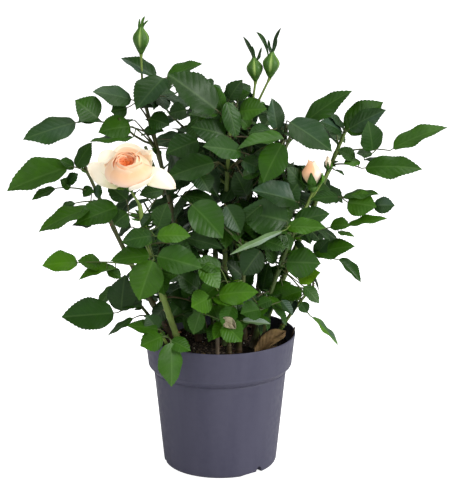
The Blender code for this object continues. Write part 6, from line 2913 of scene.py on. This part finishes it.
@dataclass
class SoilBed:
    """Potting soil: a rough bed with crumbs, perlite and dried leaves on it."""

    palette: Palette
    trees: GrowingTrees
    radius: float = 60.5
    level: float = 108
    edge_drop: float = 3
    flat_radius: float = 54
    rings: int = 26
    sides: int = 90
    skirt_share: float = 0.96
    skirt_foot: float = 92
    bare_at: tuple = (30, -38)
    stubs: tuple = (
        ((-2, -46), (0, 2), 24, 1.7), ((59, -4), (5.4, 0), 17, 0.7), ((-12, 34), (-4, 3), 22, 1.6),
        ((26, 46), (3, 2), 14, 1.2),
    )
    litter: tuple[Patch, ...] = (
        Patch((31, -37, 109), (43, -31, 121), (56, -18, 122), 17, 0.5, (-0.3, -0.6, 0.75), 0.5, Outline.DRIED),
        Patch((32, -41, 109), (40, -39, 113), (49, -30, 112), 10, -0.3, (0.2, -0.6, 0.7), 0.3, Outline.DRIED),
        Patch((2.5, -60, 146), (8, -64.5, 147.5), (13, -66, 141), 10, 0.1, (0, -0.9, 0.35), 1.0, Outline.DRIED),
        Patch((-22, -44, 109), (-16, -48, 111), (-10, -47, 109), 5, 0.5, (0, -0.4, 0.9), 0.55, Outline.DRIED),
        Patch((10, 40, 109), (22, 46, 114), (32, 40, 110), 12, 0.5, (0.1, 0.6, 0.8), 0.5, Outline.DRIED),
        Patch((-34, 26, 109), (-42, 30, 113), (-44, 18, 110), 9, -0.4, (-0.4, 0.2, 0.9), 0.3, Outline.DRIED),
    )

    def height(self, radius: float) -> float:
        """The bed's height in mm at a distance from the middle."""
        drop = ease(radius, self.flat_radius - 4, self.radius) * self.edge_drop
        return self.level - 0.8 - drop

    def build(self) -> None:
        """Builds and places the bed."""
        points, loose = [Vector((0, 0, self.height(0) * MM))], [1.0]
        bare = Vector(self.bare_at)
        for ring in range(1, self.rings + 1):
            radius = self.radius * ring / self.rings
            for side in range(self.sides):
                angle = 2 * math.pi * (side + 0.5 * (ring % 2)) / self.sides
                points.append(
                    Vector((radius * math.cos(angle) * MM, radius * math.sin(angle) * MM, self.height(radius) * MM))
                )
                off = (Vector(points[-1].xy) / MM - bare).length
                loose.append(0.55 + 0.45 * ease(off, 14, 30) if ring < self.rings else 0.3)
        faces = []
        for side in range(self.sides):
            after = (side + 1) % self.sides
            faces.append((0, 1 + side, 1 + after))
            for ring in range(self.rings - 1):
                low, high = 1 + ring * self.sides, 1 + (ring + 1) * self.sides
                faces.append((low + side, high + side, high + after, low + after))
        foot, skirt = len(points), self.radius * self.skirt_share
        for side in range(self.sides):
            angle = 2 * math.pi * (side + 0.5 * (self.rings % 2)) / self.sides
            points.append(Vector((skirt * math.cos(angle) * MM, skirt * math.sin(angle) * MM, self.skirt_foot * MM)))
            loose.append(0.0)
        last = 1 + (self.rings - 1) * self.sides
        for side in range(self.sides):
            after = (side + 1) % self.sides
            faces.append((last + side, foot + side, foot + after, last + after))
        faces.append(tuple(foot + side for side in reversed(range(self.sides))))
        obj = object_from("soil_bed", points, [], faces)
        store(obj.data, "loose", loose)
        values = {
            "Bed": self.palette.peat, "Crumb": self.palette.crumb, "White": self.palette.perlite,
            "Straw": self.palette.straw,
        }
        place(grown(obj, self.trees.scatter, values), "potting_soil", "soil")
        sheets = Sheets(0.3 * MM)
        for patch in self.litter:
            sheets.add(*patch.grid(14, 10, 2.4), tone=patch.tint, grey=1.4 * (1 - patch.tint))
        place(sheets.build("dried_leaves", self.palette.leaf_dried), "potting_soil")
        lines = StemLines()
        for spot, lean, height, radius in self.stubs:
            foot = Vector((*spot, self.level - 2)) * MM
            lines.add([foot + Vector((*lean, height)) * MM * k / 5 for k in range(6)], [radius * MM] * 6, radius / 2.1)
        values = self.palette.skins(9, 0.5) | {"Skin": self.palette.old_wood}
        place(lines.build("old_stubs", self.trees.stems, values), "potting_soil")


# ---------------------------------------------------------------- studio


@dataclass
class Studio:
    """The pale floor, the soft lights and the camera."""

    camera_at: tuple = (0.006, -2.0, 0.75)
    pitch_deg: float = 15.62
    lens: float = 175.0
    sensor: float = 36.0
    fill: float = 0.29
    lamps: tuple = (
        ("overhead", (0.3, 0.3, 1.7), 1.3, 12.0), ("right_front", (1.7, -0.9, 1.1), 1.1, 37.5),
        ("left_front", (-1.3, -1.5, 1.3), 1.4, 15.5),
    )
    lamps_aim: tuple = (0, 0, 0.2)
    floor_corners: tuple = ((-8, -6, 0), (8, -6, 0), (8, 12, 0), (-8, 12, 0))
    floor_glow: tuple = (0.1, 0.94)

    def build(self) -> None:
        """Sets up the whole studio."""
        scene = bpy.context.scene
        scene.view_settings.view_transform = "Standard"
        data = bpy.data.cameras.new("camera")
        data.lens, data.sensor_width = self.lens, self.sensor
        camera = link(bpy.data.objects.new("camera", data))
        camera.location = self.camera_at
        camera.rotation_euler = (math.radians(90 - self.pitch_deg), 0, 0)
        scene.camera = camera

        world = bpy.data.worlds.new("studio")
        world.use_nodes = True
        tree = Tree(world.node_tree)
        seen = tree.add("ShaderNodeLightPath", out="Is Camera Ray")
        tree.plug(world.node_tree.nodes["Background"].inputs["Strength"], seen.between(self.fill, 1.0))
        world.node_tree.nodes["Background"].inputs["Color"].default_value = (1, 1, 1, 1)
        scene.world = world
        for lamp in self.lamps:
            self._light(*lamp)

        floor = object_from("floor", self.floor_corners, [], [(0, 1, 2, 3)])
        tree = MaterialTree("pale_floor")
        seen = tree.add("ShaderNodeLightPath", out="Is Camera Ray").between(*self.floor_glow)
        floor.data.materials.append(
            tree.finish(base_color=(0.8, 0.8, 0.8), roughness=0.9, emission_color=seen, emission_strength=1.0)
        )
        floor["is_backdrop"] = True

    def _light(self, name: str, spot: tuple, size: float, power: float) -> None:
        """A square soft light turned to the plant's middle.

        Args:
            name: The lamp's name.
            spot: Where it stands.
            size: The length of its side.
            power: Its power, in watts.
        """
        data = bpy.data.lights.new(name, "AREA")
        data.size, data.energy = size, power
        lamp = link(bpy.data.objects.new(name, data))
        lamp.location = spot
        aim = Vector(self.lamps_aim) - Vector(spot)
        lamp.rotation_euler = aim.to_track_quat("-Z", "Y").to_euler()


def main() -> None:
    """Loads the frame, builds every piece in order and notes the model's size."""
    logging.basicConfig(level=logging.INFO, format="%(name)s: %(message)s")
    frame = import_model()
    cad_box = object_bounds()
    Studio().build()
    palette = Palette()
    trees = GrowingTrees()
    NurseryPot(palette).build()
    SoilBed(palette, trees).build()
    Foliage(palette, trees, Room(frame["nodes"])).build()
    Flowers(palette, trees).build()
    trees.clear()
    boxes = [[list(corner) for corner in box] for box in (cad_box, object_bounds())]
    LOG.info("box before and after, in m: %s", boxes)


if __name__ == "__main__":
    main()
